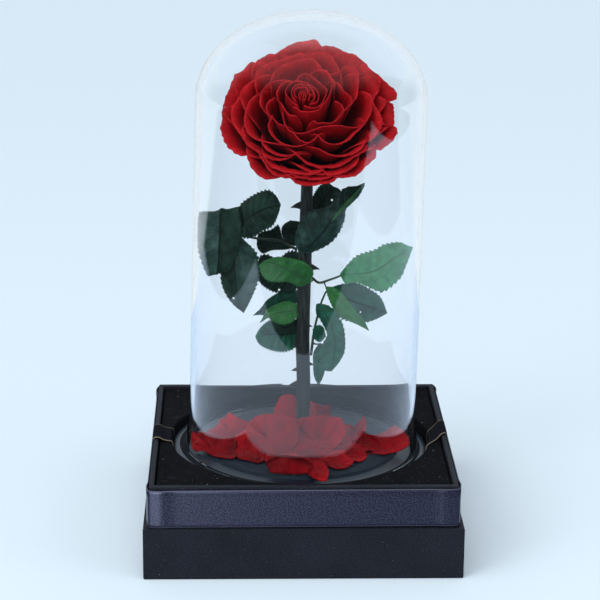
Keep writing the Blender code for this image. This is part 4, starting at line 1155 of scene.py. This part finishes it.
leaflets = {
    "leaflet_upper_left_tip": ("hazy", [],
        [(219, 215, -1), (203, 211.6, -9), (199.4, 226, -10), (200.5, 250, -11), (209, 275.3, -13), (214, 266, -8)],
        [(226, 214, -3), (221.5, 208.6, -10), (220.5, 235, -13.5), (219, 262, -15), (217, 274.5, -14), (216, 266, -9)],
        [(236, 214, -1), (237.5, 207.4, -8), (241, 235, -9), (236, 255, -10), (229, 271.5, -12), (220, 266, -8)]),
    "leaflet_upper_left_inner": ("dark", [(280.8, 204, -4)],
        [(239, 223, -5), (240, 207, -5), (248.7, 198.8, -5), (260, 192.6, -4.5), (269, 190.9, -4), (276, 196, -4)],
        [(239, 226, -5), (252, 215, -7), (266, 208, -6)],
        [(239, 229, -5), (242, 236.2, -8), (253, 235.5, -9), (262, 230, -8), (272.5, 224, -7), (278.5, 212, -5)]),
    "leaflet_upper_left_hanging": ("glossy", [(244, 312.7, -15)],
        [(238, 237, -4), (224, 258, -6), (221.8, 276, -8), (225, 290, -10), (233, 303, -13)],
        [(240, 236, -4.2), (235, 262, -11), (237, 290, -14)],
        [(243, 238, -4), (256, 254, -8), (258, 275, -11), (254, 290, -12.5), (248.7, 303, -14)]),
    "leaflet_upper_left_near": ("dark", [(258, 249, 7.6)],
        [(292, 244, 5.6), (283, 238, 7), (278.5, 226, 8), (271, 230, 8), (260, 233, 8), (256.8, 243, 8)],
        [(292, 246, 5.6), (275, 243, 5)],
        [(292, 248, 5.6), (284, 249, 4), (272, 249.5, 4), (263, 252.6, 5)]),
    "leaflet_upper_left_rear": ("dark", [(290.5, 220, 13)],
        [(294, 246, 5.8), (284, 238, 9), (282, 229, 11), (285, 223.5, 12)],
        [(297, 245, 5.8), (292, 232, 9)],
        [(300, 245, 5.8), (304, 235, 10), (301, 223, 12)]),
    "leaflet_upper_right_front": ("misty", [(364.5, 182.3, -14)],
        [(298, 250, -8.4), (295.5, 240, -9), (298.5, 229, -9), (304, 219, -10), (313.5, 211, -11), (325.5, 208, -12),
         (336, 201, -12), (341, 191.5, -12), (347.5, 187, -13), (357, 185.6, -14)],
        [(298.5, 250.5, -8.4), (310, 245, -13), (322.5, 232.5, -16), (334.5, 216, -18), (343.5, 205.5, -17),
         (352.5, 193.5, -16)],
        [(299, 251, -8.4), (309, 252, -9), (321, 247.5, -10), (331.5, 240.5, -11), (339, 230.5, -12), (343.8, 219, -13),
         (345.5, 209, -14), (351, 203, -14), (357.5, 196.5, -14), (363.5, 187, -14)]),
    "leaflet_upper_right_rear": ("dark", [(333, 186, 10.5)],
        [(308, 214, 4), (311, 203, 6), (315, 193, 8), (321, 185.3, 9.5), (328, 182.6, 10.5)],
        [(309, 216, 4), (320, 203, 7)],
        [(311, 217, 4), (325, 215, 5), (335, 207, 7), (341, 196, 9), (339, 189, 10)]),
    "leaflet_centre_front": ("bright", [(259.3, 264.5, -20)],
        [(311, 281, -5), (312.5, 271.3, -8), (303, 262.3, -12), (288.3, 258.2, -15), (277, 256.8, -17),
         (265.7, 260, -19)],
        [(310, 281.5, -5), (294, 273.6, -13), (283, 266.5, -18), (269, 262, -20)],
        [(309, 282.5, -5), (299.7, 285.5, -10), (288.3, 280.8, -16), (277, 281, -19), (269, 279.3, -21),
         (262.3, 273.6, -21)]),
    "leaflet_left_rear": ("dark", [(256.8, 269, 11)],
        [(301, 266, 4), (298, 253, 6), (288, 252.8, 8), (281, 257.5, 9), (274, 258, 10), (267, 255, 11),
         (260, 257, 11)],
        [(301, 280, 3.6), (285, 276, 6), (268, 271, 9)],
        [(301, 284, 3.6), (292, 290.5, 4), (278.7, 291.2, 5), (271.3, 289.5, 6), (262.3, 283.8, 8), (257.8, 277, 10)]),
    "leaflet_lower_left_upper": ("deep", [(253, 315, 9)],
        [(299.5, 290, 3.4), (285, 290.3, 6), (276, 294, 7), (267, 300, 8), (261, 307.5, 9)],
        [(299.5, 294, 3.4), (283, 300, 5), (267, 307, 7)],
        [(299.5, 298, 3.4), (290, 309, 3), (277, 313, 4), (266, 314.5, 6), (259.5, 314.3, 8)]),
    "leaflet_lower_left_bright": ("bright", [(260, 322.3, -7)],
        [(299, 306, -1.4), (290, 301.5, -3), (280, 303, -4), (269, 308, -6), (263.5, 316, -7)],
        [(299, 309, -1.4), (288, 311, -5), (275, 313, -7)],
        [(299, 312, -1.4), (297, 316, -4), (292, 321, -6), (282.7, 323.3, -8), (272.5, 320.5, -9), (267.5, 316.5, -8)]),
    "leaflet_lower_left_under": ("deep", [(255.3, 335.5, 2)],
        [(299, 328, 3), (294, 321, 4), (282, 318.5, 5), (270, 320.5, 5), (261, 327, 4)],
        [(299, 333, 3), (283, 333, 1), (268, 334, 1)],
        [(299, 337, 3), (295, 346, 0), (286, 350, -2), (274, 349.5, -3), (262, 345, -2), (257, 340, 0)]),
    "leaflet_right_tip": ("pale", [(413.3, 246.9, -5)],
        [(340.5, 272.5, -2.4), (352.5, 260, -3), (360.5, 255, -3), (375.2, 250.5, -3), (384, 245.4, -3),
         (398.7, 242.5, -4), (407, 245, -5)],
        [(340.5, 274, -2.4), (362, 273.3, -6), (378, 268.9, -7), (395.7, 257, -6.5)],
        [(340.5, 275.5, -2.4), (345.9, 282.8, -6), (354.7, 281.5, -8), (363.5, 283.7, -9), (375, 288.7, -10),
         (384, 289.4, -10), (398.7, 277.7, -9), (405, 266, -7)]),
    "leaflet_right_rear": ("deep", [(387.7, 312.9, 9)],
        [(329.5, 287.5, -0.4), (338.5, 285, 2), (354.7, 282.8, 4), (369.3, 289.4, 7), (379.6, 296.7, 8),
         (384.5, 305, 9)],
        [(329, 289, -0.4), (346, 298, 2), (366, 305.5, 6)],
        [(329, 291, -0.4), (333, 305, 0), (341, 316, 1), (352, 320, 3), (366.4, 320.9, 5), (378, 317.5, 7)]),
    "leaflet_right_front": ("bright", [(368.8, 330.3, -13)],
        [(326.5, 286, -3), (333.5, 287.2, -5), (341, 292.5, -7), (347, 300, -9), (355, 310.5, -11),
         (363.5, 319.5, -12.5)],
        [(326, 286.5, -3), (338.5, 299, -8), (352, 313, -12)],
        [(325.6, 287.5, -3), (328.5, 296.5, -5), (334, 308, -8), (340.5, 315.8, -10), (348, 319.5, -12),
         (359, 324.8, -13)]),
    "leaflet_lower_right": ("deep", [(331.5, 370.7, -14)],
        [(318.5, 303, -4.6), (327, 305, -6), (335, 311, -8), (340.5, 320, -10), (344, 333, -12), (344, 350, -13),
         (338.5, 362, -14)],
        [(317.5, 303.5, -4.6), (328, 318, -9), (335, 341, -13)],
        [(316, 304, -4.6), (316.5, 312, -5), (320.5, 318.5, -6), (325.5, 328, -8), (327.5, 335, -9), (322.5, 345, -10),
         (320, 356, -11), (325, 369, -13)]),
    "behindLowerRight": ("deep", [(318.5, 385, -4)],
        [(322, 343, -1), (325, 356, -2), (324.5, 369, -3), (322, 378, -4)],
        [(321, 343, -1), (318, 362, -3), (317.5, 374, -4)],
        [(319, 343, -1), (314, 352, -1), (313.5, 364, -2), (314.5, 376, -3)]),
    "innerLowerRight": ("deep", [(326, 336, -7)],
        [(314, 328, -4), (318, 325, -5), (323, 327, -6)],
        [(313, 329, -4), (319, 332, -6)],
        [(313, 331, -4), (314, 337, -5), (320, 341, -6)]),
    "foldedEdge": ("bright", [(364.5, 182.3, -14.6)],
        [(331.5, 220, -19), (339.3, 209.2, -20.2), (351.3, 195.8, -18.2)],
        [(331.5, 220.5, -19), (340, 210, -20), (352, 196.5, -18)],
        [(332, 221, -18.8), (341.2, 210.6, -19.6), (353.2, 196.9, -17.6)]),
    "middleLeft": ("dark", [(270, 322, -4)],
        [(299, 320, 1), (290, 319, -2), (279, 317, -4)],
        [(299, 323, 1), (285, 327, -3)],
        [(299, 327, 1), (289, 334, -2), (277, 333.5, -4)]),
}

leafDetail = {"thick": 0.35, "stations": 144, "columns": 10, "teeth": 18, "tooth": 0.13, "pleats": 8, "pleat": 0.26,
              "hollow": 0.10}


def leafPoints(rails):
    s = leafDetail
    one, rib, other = (smoothRail([seenAt(x, y, 1, depth) for x, y, depth in rail], s["stations"]) for rail in rails)
    t = np.linspace(0, 1, s["stations"])
    saw = (t * s["teeth"]) % 1.0
    fade = np.clip(np.minimum(t, 1 - t) * 10, 0, 1)
    lines = {0: rib}
    for side, edge in ((-1, one), (1, other)):
        spread = edge - rib
        normal = np.cross(spread, np.gradient(rib, axis=0))
        normal /= np.maximum(np.linalg.norm(normal, axis=1), 1e-9)[:, None]
        width = np.linalg.norm(spread, axis=1)
        for k in range(1, s["columns"] + 1):
            w = k / s["columns"]
            reach = w * (1 + s["tooth"] * (1 - saw) * fade * w ** 6)
            wave = s["pleat"] * mm * np.cos(tau * (t * s["pleats"] - w * 0.9)) * sin(pi * min(w, 0.98)) * fade
            lift = side * (wave + s["hollow"] * width * sin(pi * w))
            lines[side * k] = rib + spread * reach[:, None] + normal * lift[:, None]
    return np.stack([lines[k] for k in sorted(lines)], 0)


for name, (tone, tip, *rails) in leaflets.items():
    title = camel(name.replace("leaflet_", "")) + "Leaf"
    points = leafPoints([rail + tip for rail in rails])
    blade = addWall(gridPiece(title, points, leafFinishes[tone]), leafDetail["thick"] * mm)
    keep(blade, [name] if name.startswith("leaflet_") else [])
    if name != "foldedEdge":
        x, y, depth = rails[1][0]
        addPetiole("petiole" + title[0].upper() + title[1:], np.array(seenAt(x, y, 1, depth)))
print("leaflets ready")

# Fallen petals lying on the disc. Each has the height of its middle above the disc, then its outline in the
# photograph's frame, the narrow end first, with the height of each place.

pileSetup = {"thick": 0.45, "around": 84, "rings": 16, "crumple": 0.9, "fold": 0.9, "step": 1.5, "clear": 0.3,
             "middle": (300, 436)}

fallenPetals = {
    "fallen_petal_1": [1.6, (236, 446, 4), (236, 435, 7), (222, 431, 9), (206, 432, 9), (193.8, 431.8, 6),
        (193, 442, 3), (197, 451, 1), (204, 450, 1), (213, 455, 0.7), (221.8, 457.4, 0.6), (234.6, 457.4, 1)],
    "fallen_petal_2": [2.6, (236, 435, 4), (222, 434, 3), (206, 432, 2), (217, 425, 4), (219.4, 417.4, 8),
        (222.6, 419, 7), (229, 412.6, 10), (237.8, 417.4, 9), (247.4, 421.4, 8), (246.6, 429.4, 5)],
    "fallen_petal_3": [5.0, (287, 456, 2), (272, 455, 1.5), (258, 447, 2), (249, 436, 5), (247.4, 423.8, 8),
        (253.8, 417.4, 14), (262, 414, 17), (271.4, 413.4, 18), (287.4, 415, 18.5), (298, 419, 17.5), (300, 432, 11),
        (297, 445, 5)],
    "fallen_petal_4": [6.0, (288, 421, 2), (280, 420, 2), (273.8, 412.6, 3), (277, 403, 8), (281, 395.8, 13),
        (288, 393.5, 15), (295.4, 396.6, 14), (297, 407.8, 8), (296, 418, 3)],
    "fallen_petal_5": [6.0, (315, 421, 3), (307, 414, 5), (306, 403, 11), (310, 400.6, 12), (318, 404, 12),
        (325.8, 406, 12), (329.8, 403.8, 14), (331, 409, 10), (329.8, 415, 6), (322, 419, 4)],
    "fallen_petal_6": [5.0, (303, 457, 1.5), (297, 453, 2), (295, 440, 6), (296, 428, 12), (298, 419, 18),
        (310, 416, 19.5), (321, 415.8, 19), (338.6, 417.4, 17), (343.4, 423, 13), (346.6, 431.8, 8), (340, 443, 3),
        (330, 451, 2), (321, 455.8, 1.5)],
    "fallen_petal_7": [1.6, (356, 441.4, 1.5), (362.6, 433.4, 5), (370, 434, 6), (377, 434, 7), (386, 430, 9),
        (394.6, 425.4, 11), (404, 431, 9), (407.4, 443, 5), (404, 448, 2.5), (397.8, 451, 1), (388, 453, 0.8),
        (380, 454, 0.7), (365.8, 447.8, 0.8)],
    "fallen_petal_8": [12.5, (266.4, 465.4, 1.5), (268, 460, 5), (274.6, 456.5, 8), (282, 455, 11), (290, 455, 12.5),
        (299, 456, 12.5), (307, 459.5, 10), (313, 465, 5), (315, 472, 0.8), (306.6, 473.6, 0.6), (298, 474, 0.6),
        (287.4, 474.2, 0.6), (279, 473.5, 0.6), (271.4, 471.8, 0.6)],
    "leftFront": [2.6, (258, 463, 0.7), (250.6, 461, 0.6), (237.8, 457, 1), (235, 447, 3), (236, 436, 7), (247, 429, 9),
        (252, 439, 7), (260, 447, 4), (266, 453, 2), (264, 460, 1)],
    "rightSpike": [3.2, (347, 437, 2), (343.4, 428, 6), (347, 423, 8), (354.6, 425.4, 8), (360, 420, 12),
        (364.2, 415.8, 15), (366, 423, 10), (364.2, 431.8, 6), (356, 439.8, 2.5)],
    "frontRight": [1.3, (324, 465.4, 0.8), (317.8, 459, 2.5), (328, 454, 4), (338.6, 452.6, 4.5), (347, 455, 4),
        (353, 459, 3), (349.8, 465.4, 1.2), (338.6, 468.6, 0.7)],
    "rightSmall": [1.3, (346, 452, 2), (353, 447.8, 4), (360, 449, 4), (365.8, 452.6, 3), (364, 459, 0.8),
        (357.8, 461.4, 0.7), (350, 458, 1.5)],
    "frontTip": [3.4, (304, 466, 3), (308, 459, 7), (316, 458, 7.5), (322.6, 461, 7), (327, 467, 5.5), (328.4, 472, 4),
        (327.4, 478, 1.5), (325.8, 480.6, 0.8), (320, 480.6, 0.8), (309, 475.5, 0.8)],
    "underFront": [0.9, (303, 466, 0.7), (285, 464, 0.7), (268, 463, 0.8), (262, 452, 1.4), (275, 447, 3),
        (300, 446, 4), (325, 450, 3), (346, 450, 2), (342, 460, 0.7), (322, 465, 0.7)],
    "underLeft": [0.9, (262, 458, 0.7), (240, 452, 0.7), (226, 444, 0.7), (228, 434, 2), (244, 428, 3), (262, 432, 3),
        (272, 444, 2)],
    "underRight": [0.9, (330, 450, 0.7), (338, 440, 2), (350, 434, 3), (366, 434, 3), (374, 442, 1.2), (368, 450, 0.7),
        (350, 454, 0.7)],
}


def onPile(x, y, height):
    # A place of the photograph at a height above the disc, which leans a little with the seat
    lean = 0.0
    for _ in range(3):
        point = seenAt(x, y, 2, seatSetup["height"] + discSetup["height"] + pileSetup["clear"] + height - lean)
        lean = sin(radians(seatSetup["lean"])) * point.x / mm
    return np.array(point) / mm


def fallenPetal(name, middle, outline, seed):
    s = pileSetup
    edge = np.array([onPile(*place) for place in outline])
    loop = smoothRail(np.vstack([edge, edge[:1]]), s["around"] + 1)[:-1]
    centre = loop.mean(axis=0)
    centre[2] = onPile(*s["middle"], middle)[2]
    turn = np.linspace(0, tau, s["around"], endpoint=False)[:, None]
    ring = np.linspace(0, 1, s["rings"])[None, :]
    torn = (0.030 * waves(np.cos(turn) * 5, np.sin(turn) * 5, seed)
            + 0.022 * waves(np.cos(turn) * 15, np.sin(turn) * 15, seed + 1))
    points = centre + (loop[:, None] - centre) * (ring * (1 + torn * ring ** 6))[..., None]
    points[..., 2] = centre[2] + (loop[:, None, 2] - centre[2]) * ring ** s["step"]
    x, y = points[..., 0], points[..., 1]
    crumple = waves(x / 4.5, y / 4.5, seed + 2) + 0.35 * waves(x / 1.6, y / 1.6, seed + 3)
    points[..., 2] += s["crumple"] * crumple * np.sin(pi * np.clip(ring, 0.0, 0.93))
    points[..., 2] += s["fold"] * (0.6 - abs(np.sin(3.5 * turn + seed))) * ring ** 1.5 * (1 - ring) ** 0.5 * 2
    # laid out as a fan from the petal's base
    away, axis = points[..., :2] - loop[0, :2], centre[:2] - loop[0, :2]
    reach = np.linalg.norm(away, axis=-1)
    swing = np.arctan2(away[..., 0] * axis[1] - away[..., 1] * axis[0], away @ axis)
    fan = np.stack([0.5 + swing / pi, reach / reach.max()], -1)
    faces = gridFaces(s["around"], s["rings"], closed=True)
    return addWall(repaired(meshPiece(name, points * mm, faces, fallenPetalFinish, fan)), s["thick"] * mm)


for i, (name, (middle, *outline)) in enumerate(fallenPetals.items()):
    nodes = [name] if name.startswith("fallen_") else []
    title = f"fallenPetal{name[-1]}" if nodes else f"{name}FallenPetal"
    keep(fallenPetal(title, middle, outline, 70 + 5 * i), nodes)
print("fallen petals ready:", len(finished), "pieces")
